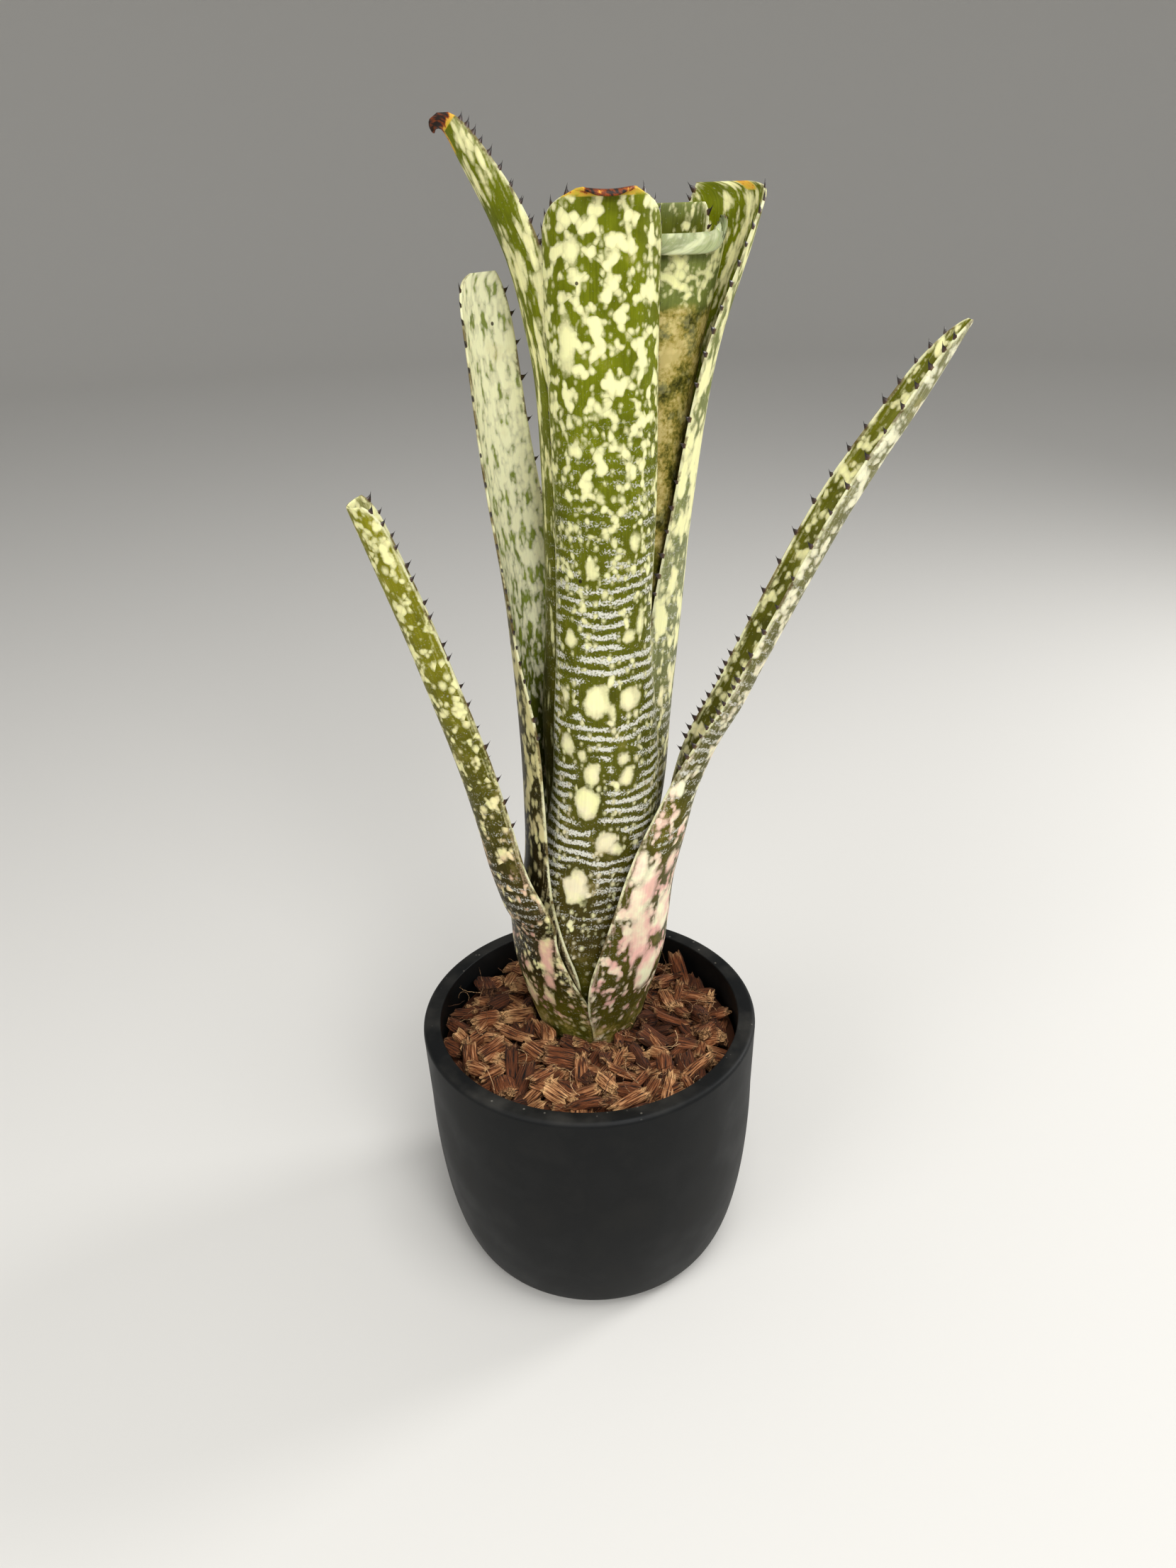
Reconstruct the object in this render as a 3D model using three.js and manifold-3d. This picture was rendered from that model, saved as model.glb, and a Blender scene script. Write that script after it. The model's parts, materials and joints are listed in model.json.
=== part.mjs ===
// A variegated billbergia in a plain black pot. Millimetres, +Z up.
// The origin is the middle of the pot's underside, and the plant faces -Y.
import * as THREE from 'three';
import { mergeVertices } from 'three/addons/utils/BufferGeometryUtils.js';
import Module from 'manifold-3d';

const wasm = await Module();
wasm.setup();

// Driving dimensions of the pot
const POT_HEIGHT = 96;
const POT_RADIUS = 60;
const RIM_WIDTH = 6.2;
const RIM_DEPTH = 9;
const RIM_ROUNDING = 1.8;
const LIP_STEPS = 3;
const WALL = 2.6;
const FLOOR = 3.2;
const STRAIGHT_SIDE = 27;
const SIDE_TAPER = 0.8;
const FOOT_INSET = 13.7;
const INNER_CHAMFER = 1.5;
const POT_SEGMENTS = 48;
const SIDE_STEPS = 6;
const DRAIN_HOLES = 5;
const DRAIN_RADIUS = 3.5;
const DRAIN_CIRCLE = 28;

// Driving dimensions of the bark mix
const FIT = 0.35;
const BARK_LEVEL = 84;
const BARK_SEGMENTS = 30;
const CHIP_COUNT = 70;
const CHIP_SEED = 7;
const CHIP_LENGTH = [7, 15];
const CHIP_WIDTH = [4, 8];
const CHIP_HEIGHT = [3, 6];
const CHIP_SKEW = 0.12;
const CHIP_TAPER = 0.16;
const CHIP_PITCH = 32;
const CHIP_ROLL = 28;
const CHIP_LIFT = [0.6, 3];
const GOLDEN_ANGLE = 137.508;
const LOW_CLEARANCE = 0.5;
const HIGH_CLEARANCE = 0.8;

// The tube that the leaf sheaths form: height, centre x and radius of the outermost sheath
const TUBE_Y = 12;
const TUBE = [
  [80, -0.4, 18],
  [92, -0.4, 21.4],
  [104, -0.3, 24.8],
  [118, 0.2, 28],
  [132, 0.8, 29.2],
];
const SHEATH_STEP = 1.5;
const LEAF_THICKNESS = 0.85;
const LEAF_COLUMNS = 8;
const ROWS_PER_STATION = 2;
const TIP_ROWS = 4;

// Spines on the leaf margins
const SPINE_LENGTH = 2.1;
const SPINE_WIDTH = 2.2;
const SPINE_LEAN = 1.1;
const SPINE_ROOT = 0.9;
const SPINE_HALF_HEIGHT = 0.29;
const MARGIN_STEP = 0.05;

// The short stem under the leaves
const STEM_TOP = 79.7;
const STEM_RADIUS = 17;
const STEM_HEIGHT = 18;
const STEM_COLLAR = 3;
const STEM_FOOT_RADIUS = 6.5;
const STEM_SEGMENTS = 24;
const ROOT_COUNT = 6;
const ROOT_DEPTH = 50;
const ROOT_CIRCLE = 4.6;
const ROOT_RADIUS = 1.6;
const ROOT_TIP_RADIUS = 1.1;
const SOCKET_RADIUS = 9.5;

const radians = (degrees) => degrees * Math.PI / 180;
const mix = ([low, high], share) => low + (high - low) * share;

function seeded(seed) {
  let state = seed;
  return () => {
    state = (state * 1664525 + 1013904223) % 4294967296;
    return state / 4294967296;
  };
}

// Solids: a closed geometry becomes a manifold, and a manifold a geometry
function toSolid(geometry) {
  const bare = geometry.clone();
  bare.deleteAttribute('normal');
  bare.deleteAttribute('uv');
  const merged = mergeVertices(bare, 1e-4);
  return new wasm.Manifold(new wasm.Mesh({
    numProp: 3,
    vertProperties: new Float32Array(merged.attributes.position.array),
    triVerts: new Uint32Array(merged.index.array),
  }));
}

function toGeometry(solid) {
  const mesh = solid.getMesh();
  const geometry = new THREE.BufferGeometry();
  geometry.setAttribute('position', new THREE.BufferAttribute(new Float32Array(mesh.vertProperties), 3));
  geometry.setIndex(new THREE.BufferAttribute(new Uint32Array(mesh.triVerts), 1));
  geometry.computeVertexNormals();
  return geometry;
}

function lathe(profile, segments) {
  const points = profile.map(([radius, z]) => new THREE.Vector2(radius, z));
  const geometry = new THREE.LatheGeometry(points, segments);
  geometry.rotateX(Math.PI / 2);
  return geometry;
}

function piece(name, geometry, color, roughness) {
  const material = new THREE.MeshStandardMaterial({ color, roughness, metalness: 0 });
  const mesh = new THREE.Mesh(geometry, material);
  mesh.name = name;
  return mesh;
}

// Pot: straight upper side, then a quarter ellipse in to the flat foot
function potSide(inset) {
  const shoulder = POT_HEIGHT - STRAIGHT_SIDE;
  const points = [];
  for (let i = 0; i <= SIDE_STEPS; i += 1) {
    const turn = radians(90 * i / SIDE_STEPS);
    const radius = POT_RADIUS - SIDE_TAPER - FOOT_INSET * (1 - Math.sin(turn)) - inset;
    points.push([radius, shoulder * (1 - Math.cos(turn))]);
  }
  return points;
}

function makePot() {
  const lip = [];
  for (let i = 0; i <= LIP_STEPS; i += 1) {
    const turn = radians(90 * i / LIP_STEPS);
    const radius = POT_RADIUS - RIM_ROUNDING * (1 - Math.cos(turn));
    lip.push([radius, POT_HEIGHT - RIM_ROUNDING * (1 - Math.sin(turn))]);
  }
  const inner = potSide(WALL).filter(([, z]) => z > FLOOR);
  const foot = inner[0][0] - INNER_CHAMFER;
  const profile = [
    [0, 0],
    ...potSide(0),
    ...lip,
    [POT_RADIUS - RIM_WIDTH, POT_HEIGHT],
    [POT_RADIUS - RIM_WIDTH, POT_HEIGHT - RIM_DEPTH],
    ...inner.reverse(),
    [foot, FLOOR],
    [0, FLOOR],
  ];
  let solid = toSolid(lathe(profile, POT_SEGMENTS));
  for (let i = 0; i < DRAIN_HOLES; i += 1) {
    const turn = radians(360 * i / DRAIN_HOLES);
    const hole = new THREE.CylinderGeometry(DRAIN_RADIUS, DRAIN_RADIUS, FLOOR * 4, 12);
    hole.rotateX(Math.PI / 2);
    hole.translate(DRAIN_CIRCLE * Math.cos(turn), DRAIN_CIRCLE * Math.sin(turn), 0);
    solid = solid.subtract(toSolid(hole));
  }
  return piece('pot', toGeometry(solid), 0x1b1c1e, 0.62);
}

// Bark mix: a filled body with chips of coconut husk fused into its top
function tubeRadius(z) {
  const row = TUBE.findIndex(([height]) => height > z);
  const [z0, , r0] = TUBE[row - 1];
  const [z1, , r1] = TUBE[row];
  return mix([r0, r1], (z - z0) / (z1 - z0));
}

function chip(random) {
  const length = mix(CHIP_LENGTH, random());
  const width = mix(CHIP_WIDTH, random());
  const height = mix(CHIP_HEIGHT, random());
  const geometry = new THREE.BoxGeometry(length, width, height);
  const place = geometry.attributes.position;
  for (let i = 0; i < place.count; i += 1) {
    const end = Math.sign(place.getX(i));
    const top = Math.sign(place.getZ(i));
    place.setX(i, place.getX(i) + CHIP_SKEW * length * top * end);
    place.setY(i, place.getY(i) * (1 - CHIP_TAPER * end));
  }
  geometry.rotateY(radians(mix([-CHIP_PITCH, CHIP_PITCH], random())));
  geometry.rotateX(radians(mix([-CHIP_ROLL, CHIP_ROLL], random())));
  geometry.rotateZ(radians(360 * random()));
  return geometry;
}

function makeBark() {
  const random = seeded(CHIP_SEED);
  const wall = potSide(WALL + FIT).filter(([, z]) => z > FLOOR + FIT);
  const throat = POT_RADIUS - RIM_WIDTH - FIT;
  const body = [
    [0, FLOOR + FIT],
    [wall[0][0] - INNER_CHAMFER, FLOOR + FIT],
    ...wall.filter(([, z]) => z < BARK_LEVEL - CHIP_HEIGHT[1]),
    [throat, BARK_LEVEL - CHIP_HEIGHT[0]],
    [throat, BARK_LEVEL],
    [0, BARK_LEVEL],
  ];
  let solid = toSolid(lathe(body, BARK_SEGMENTS));
  for (let i = 0; i < CHIP_COUNT; i += 1) {
    const reach = Math.sqrt((i + 0.5) / CHIP_COUNT) * (throat - CHIP_LIFT[1]);
    const turn = radians(GOLDEN_ANGLE * i);
    const geometry = chip(random);
    const lift = BARK_LEVEL + mix(CHIP_LIFT, random());
    geometry.translate(reach * Math.cos(turn), reach * Math.sin(turn), lift);
    solid = solid.add(toSolid(geometry));
  }
  const top = POT_HEIGHT * 1.2;
  const bounds = toSolid(lathe([[0, 0], [throat, 0], [throat, top], [0, top]], BARK_SEGMENTS));
  const socket = [
    [0, ROOT_DEPTH - FIT],
    [SOCKET_RADIUS, ROOT_DEPTH - FIT],
    [SOCKET_RADIUS, STEM_TOP - STEM_HEIGHT],
    [STEM_RADIUS + FIT, STEM_TOP - STEM_COLLAR],
    [tubeRadius(80) + LOW_CLEARANCE, 79],
    [tubeRadius(80) + LOW_CLEARANCE, 80],
    [tubeRadius(91) + HIGH_CLEARANCE, 91],
    [tubeRadius(103) + HIGH_CLEARANCE, 103],
    [0, 103],
  ];
  const hole = lathe(socket, BARK_SEGMENTS);
  hole.translate(0, TUBE_Y, 0);
  solid = solid.intersect(bounds).subtract(toSolid(hole));
  const parts = solid.decompose().sort((a, b) => b.volume() - a.volume());
  return piece('bark_mix', toGeometry(parts[0]), 0x8a5a38, 0.95);
}

// Stem: a short basal disc with root stubs that stand on the floor of the socket
function makeStem() {
  const low = STEM_TOP - STEM_HEIGHT;
  const profile = [
    [0, low],
    [STEM_FOOT_RADIUS, low],
    [STEM_RADIUS, STEM_TOP - STEM_COLLAR],
    [STEM_RADIUS, STEM_TOP],
    [0, STEM_TOP],
  ];
  let solid = toSolid(lathe(profile, STEM_SEGMENTS));
  for (let i = 0; i < ROOT_COUNT; i += 1) {
    const turn = radians(360 * i / ROOT_COUNT);
    const length = low + ROOT_CIRCLE - ROOT_DEPTH;
    const root = new THREE.CylinderGeometry(ROOT_RADIUS, ROOT_TIP_RADIUS, length, 6);
    root.rotateX(Math.PI / 2);
    root.translate(ROOT_CIRCLE * Math.cos(turn), ROOT_CIRCLE * Math.sin(turn), ROOT_DEPTH + length / 2);
    solid = solid.add(toSolid(root));
  }
  const geometry = toGeometry(solid);
  geometry.translate(0, TUBE_Y, 0);
  return piece('stem_with_roots', geometry, 0x6f6a4a, 0.85);
}

// Leaf stations. Each is an arc across the leaf: the midrib point on the outer face, the compass
// direction that face looks to, its lean from upright, the width along the arc and the arc's angle.
function ring(z, x, y, radius, facing, spread) {
  const turn = radians(facing);
  return {
    at: [x + radius * Math.cos(turn), y + radius * Math.sin(turn), z],
    facing,
    lean: 0,
    width: radius * radians(spread),
    curl: spread,
  };
}

function blade(x, y, z, facing, lean, width, curl) {
  return { at: [x, y, z], facing, lean, width, curl };
}

// A sheath takes one facing and spread for each height of the tube, or the same for all of them
function sheath(layer, arcs) {
  return TUBE.map(([z, x, radius], i) => {
    const [facing, spread] = arcs[Math.min(i, arcs.length - 1)];
    return ring(z, x, TUBE_Y, radius - layer * SHEATH_STEP, facing, spread);
  });
}

// Catmull-Rom between the stations, number by number
function between(stations, position) {
  const last = stations.length - 1;
  const index = Math.min(Math.floor(position), last - 1);
  const t = position - index;
  const clamped = (i) => stations[Math.max(0, Math.min(last, i))];
  const near = [index - 1, index, index + 1, index + 2].map(clamped);
  const blend = (pick) => {
    const [a, b, c, d] = near.map(pick);
    return b + 0.5 * t * (c - a + t * (2 * a - 5 * b + 4 * c - d + t * (3 * (b - c) + d - a)));
  };
  return {
    at: new THREE.Vector3(blend((s) => s.at[0]), blend((s) => s.at[1]), blend((s) => s.at[2])),
    facing: blend((s) => s.facing),
    lean: blend((s) => s.lean),
    width: blend((s) => s.width),
    curl: blend((s) => s.curl),
  };
}

// One cross-section as a function of the place across the leaf, from -1 to 1
function section(station, narrowing, shift) {
  const facing = radians(station.facing);
  const lean = radians(station.lean);
  const out = new THREE.Vector3(
    Math.cos(lean) * Math.cos(facing),
    Math.cos(lean) * Math.sin(facing),
    -Math.sin(lean),
  );
  const side = new THREE.Vector3(-Math.sin(facing), Math.cos(facing), 0);
  const radius = station.width / radians(station.curl);
  const half = radians(station.curl) / 2;
  return (across, depth) => {
    const turn = (across * narrowing + shift) * half;
    const reach = radius - depth;
    return station.at.clone()
      .addScaledVector(side, reach * Math.sin(turn))
      .addScaledVector(out, reach * Math.cos(turn) - radius);
  };
}

// Station positions of the rows, closer together where the tip rounds off
function rowPositions(count) {
  const rows = TUBE.map((_, i) => i);
  const first = TUBE.length - 1;
  for (let i = 1; i < (count - 2 - first) * ROWS_PER_STATION; i += 1) {
    rows.push(first + i / ROWS_PER_STATION);
  }
  for (let i = 0; i <= TIP_ROWS; i += 1) {
    rows.push(count - 2 + Math.sin(radians(90 * i / TIP_ROWS)));
  }
  return rows;
}

// Past the last but one station the blade closes in: blunt is what is left of its width at the end,
// round is 0.5 for an ellipse and 1 for a parabola, and slant moves the end across the leaf
function leafSection(leaf, position) {
  const t = Math.max(0, position - leaf.stations.length + 2);
  const narrowing = (1 - t * t * (1 - leaf.blunt ** (1 / leaf.round))) ** leaf.round;
  return section(between(leaf.stations, position), narrowing, leaf.slant * (1 - narrowing));
}

function leafBody(leaf) {
  const rows = rowPositions(leaf.stations.length);
  const columns = LEAF_COLUMNS + 1;
  const vertices = [];
  const triangles = [];
  const quad = (a, b, c, d) => triangles.push(a, b, c, a, c, d);
  for (const depth of [0, LEAF_THICKNESS]) {
    for (const row of rows) {
      const place = leafSection(leaf, row);
      for (let column = 0; column < columns; column += 1) {
        vertices.push(...place(-1 + 2 * column / LEAF_COLUMNS, depth).toArray());
      }
    }
  }
  const outer = (row, column) => row * columns + column;
  const inner = (row, column) => rows.length * columns + outer(row, column);
  for (let row = 0; row < rows.length - 1; row += 1) {
    for (let column = 0; column < LEAF_COLUMNS; column += 1) {
      quad(outer(row, column), outer(row, column + 1), outer(row + 1, column + 1), outer(row + 1, column));
      quad(inner(row, column), inner(row + 1, column), inner(row + 1, column + 1), inner(row, column + 1));
    }
    quad(inner(row, 0), outer(row, 0), outer(row + 1, 0), inner(row + 1, 0));
    const edge = LEAF_COLUMNS;
    quad(outer(row, edge), inner(row, edge), inner(row + 1, edge), outer(row + 1, edge));
  }
  const top = rows.length - 1;
  for (let column = 0; column < LEAF_COLUMNS; column += 1) {
    quad(inner(0, column), inner(0, column + 1), outer(0, column + 1), outer(0, column));
    quad(outer(top, column), outer(top, column + 1), inner(top, column + 1), inner(top, column));
  }
  const geometry = new THREE.BufferGeometry();
  geometry.setAttribute('position', new THREE.BufferAttribute(new Float32Array(vertices), 3));
  geometry.setIndex(triangles);
  return geometry;
}

// A spine is a three-sided pyramid on the margin, its root inside the blade
function spine(leaf, position, edge) {
  const middle = LEAF_THICKNESS / 2;
  const here = leafSection(leaf, position);
  const root = here(edge, middle);
  const along = leafSection(leaf, position + MARGIN_STEP)(edge, middle).sub(root).normalize();
  const out = here(edge, 0).sub(here(edge, LEAF_THICKNESS)).normalize();
  const away = new THREE.Vector3().crossVectors(along, out).normalize().multiplyScalar(edge);
  if (away.dot(root.clone().sub(here(edge * 0.8, middle))) < 0) {
    away.negate();
  }
  const base = root.clone().addScaledVector(away, -SPINE_ROOT);
  const a = base.clone().addScaledVector(along, -SPINE_WIDTH / 2).addScaledVector(out, -SPINE_HALF_HEIGHT);
  const b = base.clone().addScaledVector(along, SPINE_WIDTH / 2).addScaledVector(out, -SPINE_HALF_HEIGHT);
  const c = base.clone().addScaledVector(out, SPINE_HALF_HEIGHT);
  const tip = root.clone().addScaledVector(away, SPINE_LENGTH).addScaledVector(along, SPINE_LEAN);
  const solid = new THREE.BufferGeometry().setFromPoints([a, b, c, tip]);
  const handed = b.clone().sub(a).cross(c.clone().sub(a)).dot(tip.clone().sub(a));
  solid.setIndex(handed < 0
    ? [0, 1, 2, 0, 3, 1, 1, 3, 2, 2, 3, 0]
    : [0, 2, 1, 0, 1, 3, 1, 2, 3, 2, 0, 3]);
  return toSolid(solid);
}

function makeLeaf(leaf) {
  let solid = toSolid(leafBody(leaf));
  for (const [edge, start, end, count] of leaf.spines) {
    for (let i = 0; i < count; i += 1) {
      solid = solid.add(spine(leaf, start + (end - start) * i / (count - 1), edge));
    }
  }
  return piece(leaf.name, toGeometry(solid), leaf.color, 0.5);
}

// The leaves, from the oldest sheath on the outside to the youngest in the middle.
// spines: edge, first and last station position, count.
const LEAVES = [
  {
    name: 'leaf_right_arching',
    color: 0x9a9c5a,
    blunt: 0.3,
    round: 0.5,
    slant: 0,
    stations: [
      ...sheath(0, [[-25, 118], [-25, 122], [-25, 130], [-25, 128], [-25, 114]]),
      ring(149, 3.4, 9.3, 28.2, -27, 99),
      ring(168, 18.8, 3, 16, -25, 140),
      ring(184, 29.2, 3.5, 9.8, -15, 180),
      blade(45.3, 2.5, 200, 0, 27, 26, 186),
      blade(52.7, 2, 214, 6, 29, 25, 182),
      blade(60.6, 2, 231, 8, 28, 24.5, 180),
      blade(81.8, 2, 273, 8, 30, 24.5, 180),
      blade(102.5, 2, 307, 6, 35, 20, 175),
      blade(113.7, 2, 326.5, 0, 32, 13, 170),
    ],
    spines: [[-1, 7.5, 12.6, 18], [1, 7.5, 12.6, 18]],
  },
  {
    name: 'leaf_left_arching',
    color: 0xa5a65c,
    blunt: 0.75,
    round: 0.5,
    slant: -0.2,
    stations: [
      ...sheath(1, [[200, 160], [200, 160], [200, 144], [200, 116], [200, 94]]),
      ring(144, -13.6, 2, 15.1, 206, 143),
      ring(158, -21.8, 2, 10.6, 204, 166),
      blade(-35.6, 1.5, 175, 198, 14, 30, 198),
      blade(-41.2, 0.3, 200, 194, 15, 31, 206),
      blade(-52, -2, 240, 192, 17, 29, 200),
      blade(-61, -4, 270, 192, 18, 26, 190),
      blade(-64.8, -5, 282.5, 192, 18, 24, 180),
    ],
    spines: [[-1, 6.9, 10.7, 11], [1, 6.9, 10.7, 11]],
  },
  {
    name: 'leaf_left_mid',
    color: 0xc3c690,
    blunt: 0.42,
    round: 0.55,
    slant: -0.7,
    stations: [
      ...sheath(2, [[165, 200], [165, 200], [165, 200], [164, 196], [160, 184]]),
      ring(155, 3.5, 10, 24, 153, 156),
      ring(184, 4.8, 10, 24.2, 152, 146),
      ring(210, 4.7, 10.4, 24.4, 152, 138),
      ring(235, 3.7, 11, 24.5, 152, 104),
      blade(-19.1, 21.1, 255, 152, 2, 37, 84),
      blade(-22.2, 17.5, 292, 147, 4, 28.6, 73),
      blade(-24.4, 17.2, 326, 146, 5, 25, 64),
      blade(-26.1, 17, 342, 146, 5, 22.6, 60),
    ],
    spines: [[-1, 7.3, 11.5, 14], [1, 6.9, 11.6, 16]],
  },
  {
    name: 'leaf_front',
    color: 0x9fa055,
    blunt: 0.1,
    round: 1,
    slant: 0.05,
    stations: [
      ...sheath(3, [[-90, 158]]),
      ring(155, 4.5, 9.2, 20.8, -90, 156),
      ring(184, 8, 7.2, 18.4, -90, 154),
      ring(208, 8.6, 6.2, 17.3, -90, 152),
      ring(240, 8.9, 6, 15.4, -90, 150),
      ring(280, 10.3, 6, 15.9, -90, 150),
      ring(320, 10.5, 6, 16.4, -90, 150),
      ring(349.5, 11, 6, 16.8, -90, 150),
      ring(363.6, 11.5, 6, 17, -90, 150),
    ],
    spines: [[-1, 8.6, 11.7, 15], [1, 8.6, 11.7, 15]],
  },
  {
    name: 'leaf_right_flared',
    color: 0xb1b169,
    blunt: 0.45,
    round: 0.35,
    slant: 1,
    stations: [
      ...sheath(4, [[30, 160]]),
      ring(155, 6.5, 11.5, 17.8, 26, 165),
      ring(184, 12.8, 14.7, 16.2, 28, 195),
      ring(208, 15, 15.9, 16, 29, 202),
      ring(240, 20.5, 19, 14, 30, 213),
      ring(273, 22.7, 18, 14.9, 32, 186),
      ring(317, 25.7, 18, 18.6, 34, 154),
      ring(347, 35.6, 16.3, 17.8, 34, 130),
      ring(363, 40.8, 15.5, 17.2, 35, 119),
    ],
    spines: [[-1, 8.3, 11.8, 15], [1, 8.3, 11.8, 15]],
  },
  {
    name: 'leaf_upper_left',
    color: 0xa9ab5e,
    blunt: 0.3,
    round: 0.5,
    slant: 0,
    stations: [
      ...sheath(5, [[190, 156]]),
      ring(155, 4.2, 11.5, 17, 190, 152),
      ring(184, 4.8, 14.6, 16.6, 190, 150),
      ring(208, 5.5, 15, 17.3, 188, 145),
      ring(240, 7.3, 15.2, 16.6, 187, 142),
      ring(280, 8.5, 15.2, 17, 186, 140),
      ring(310, 8, 15.4, 17, 186, 138),
      blade(-11.5, 15.6, 328, 184, 8, 38.6, 140),
      blade(-14.8, 15.4, 343, 184, 20, 35.4, 150),
      blade(-19.7, 14.4, 356, 184, 32, 31, 165),
      blade(-25.6, 14, 368, 184, 36, 24.6, 175),
      blade(-29, 13.8, 375, 184, 40, 18.6, 175),
      blade(-30.6, 13.6, 377.8, 184, 62, 14, 172),
      blade(-32, 13.5, 377.9, 184, 122, 9, 168),
      blade(-32.3, 13.4, 376.6, 184, 162, 5, 165),
    ],
    spines: [[-1, 10.9, 15.2, 11], [1, 10.9, 15.2, 11]],
  },
  {
    name: 'leaf_inner_right',
    color: 0x8f9550,
    blunt: 0.6,
    round: 0.5,
    slant: -1,
    stations: [
      ...sheath(6, [[-45, 170]]),
      ring(155, 4.4, 11.3, 15.1, -45, 170),
      ring(184, 8.5, 13.3, 12.6, -45, 170),
      ring(208, 10, 13.8, 11.8, -45, 170),
      ring(240, 13.5, 15, 12, -46, 168),
      ring(277, 19.5, 16, 12.5, -50, 160),
      ring(317, 26, 17.5, 13.3, -58, 146),
      ring(344, 31.5, 18.7, 13.9, -65, 134),
      ring(355.5, 33.5, 19, 14.2, -66, 132),
    ],
    spines: [[1, 10.9, 11.7, 6]],
  },
  {
    name: 'leaf_back',
    color: 0x7f8446,
    blunt: 0.85,
    round: 0.5,
    slant: 0,
    stations: [
      ...sheath(7, [[115, 180]]),
      ring(155, 4.4, 11.3, 13.5, 115, 180),
      ring(184, 8.5, 13.3, 11, 115, 180),
      ring(208, 10, 13.8, 10.2, 115, 180),
      ring(240, 13.5, 15, 10.4, 115, 178),
      ring(277, 19.5, 16, 10.9, 115, 175),
      ring(317, 26, 17.5, 11.7, 115, 172),
      ring(347, 31.4, 18.7, 12.2, 115, 170),
      ring(358, 33, 19, 12.4, 115, 165),
    ],
    spines: [[-1, 9, 11.6, 9], [1, 9, 11.6, 9]],
  },
];

const plant = new THREE.Group();
plant.add(makePot(), makeBark(), makeStem());
for (const leaf of LEAVES) {
  plant.add(makeLeaf(leaf));
}

export default plant;
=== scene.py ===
"""A variegated billbergia in a plain black pot of coconut husk.

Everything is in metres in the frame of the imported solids: +Z up, the plant faces -Y.
The tables of the leaves are in millimetres and degrees.
"""
import json
import math

import bmesh
import bpy
import numpy as np
from mathutils import Matrix, Vector

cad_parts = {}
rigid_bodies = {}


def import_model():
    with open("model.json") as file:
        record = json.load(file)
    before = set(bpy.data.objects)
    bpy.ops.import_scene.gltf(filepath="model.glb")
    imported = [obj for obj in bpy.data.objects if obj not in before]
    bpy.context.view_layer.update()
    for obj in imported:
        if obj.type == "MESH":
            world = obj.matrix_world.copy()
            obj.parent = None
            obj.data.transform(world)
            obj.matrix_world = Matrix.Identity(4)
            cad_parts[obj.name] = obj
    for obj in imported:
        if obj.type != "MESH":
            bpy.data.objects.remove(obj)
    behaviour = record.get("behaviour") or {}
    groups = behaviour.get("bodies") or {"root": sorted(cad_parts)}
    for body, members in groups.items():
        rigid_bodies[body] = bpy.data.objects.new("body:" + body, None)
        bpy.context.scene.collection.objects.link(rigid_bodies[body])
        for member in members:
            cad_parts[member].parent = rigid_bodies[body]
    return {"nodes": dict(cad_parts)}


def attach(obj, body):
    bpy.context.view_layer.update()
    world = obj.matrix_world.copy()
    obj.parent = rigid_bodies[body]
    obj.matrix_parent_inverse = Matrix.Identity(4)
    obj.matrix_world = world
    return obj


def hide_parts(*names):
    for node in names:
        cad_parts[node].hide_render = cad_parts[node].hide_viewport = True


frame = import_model()

bl_info = {
    "name": "Potted Billbergia",
    "version": (1, 0, 0),
    "blender": (4, 5, 0),
    "location": "View3D > Sidebar > Billbergia",
    "description": "Builds a potted billbergia with spotted, banded and spiny leaves",
    "category": "Add Mesh",
}

# Plain numbers below are millimetres
MM = 0.001

# The pot: radius, height, wall, floor, the width of the corner between wall and floor, and the play
# of the husk inside it
POT_RADIUS, POT_HEIGHT, POT_WALL, POT_FLOOR = 60.0, 96.0, 2.6, 3.2
FOOT_CORNER = 1.5
HUSK_PLAY = 0.35

# The tube of the leaf sheaths: height, centre x and radius of the outermost sheath
TUBE_Y = 12.0
TUBE = (
    (80, -0.4, 18),
    (92, -0.4, 21.4),
    (104, -0.3, 24.8),
    (118, 0.2, 28),
    (132, 0.8, 29.2),
)
SHEATH_STEP = 1.5

# Room inside the pot for the bark mix
THROAT = 53.4
BARK_LEVEL = 84.0
CHIP_CEILING = 95.0

# The socket of the stem and the leaf bases in it: radius, height
SOCKET = ((0, 49.65), (9.5, 49.65), (9.5, 61.7), (17.35, 76.7), (18.5, 79), (18.5, 80), (21.6, 91),
          (0, 91))

# Husk chips: length, width, height, bend
CHIPS = ((10.5, 6.4, 5, 0.2), (13, 6, 4.4, 0.6), (8.6, 7, 5, 0.0), (14, 4.6, 3.4, -0.8),
         (9.4, 5.8, 4, 0.4), (14, 3.4, 2.6, 1.2), (7.4, 5.2, 4.6, 0.0), (11.6, 7.6, 3.4, 0.5))
# Layers of chips: height, seed, tip in radians, lift, share of the chip spacing, outer radius
CHIP_LAYERS = ((83.0, 1, 0.35, 0.0, 1.0, 50.0), (85.5, 2, 0.55, 0.0, 1.25, 49.0),
               (87.0, 3, 0.6, 0.4, 1.95, 46.5))
# The ring in which loose fibres lie: height, inner and outer radius
FIBRE_LEVEL, FIBRE_HOLE, FIBRE_REACH = 89.5, 21.0, 49.0

# Room kept between the chips and the tube of the sheaths
TUBE_PLAY = 0.4


def tint(code):
    """An sRGB hex value as linear RGBA."""
    channels = [int(code[i : i + 2], 16) / 255 for i in (0, 2, 4)]
    linear = [c / 12.92 if c <= 0.04045 else ((c + 0.055) / 1.055) ** 2.4 for c in channels]
    return (*linear, 1.0)


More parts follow.
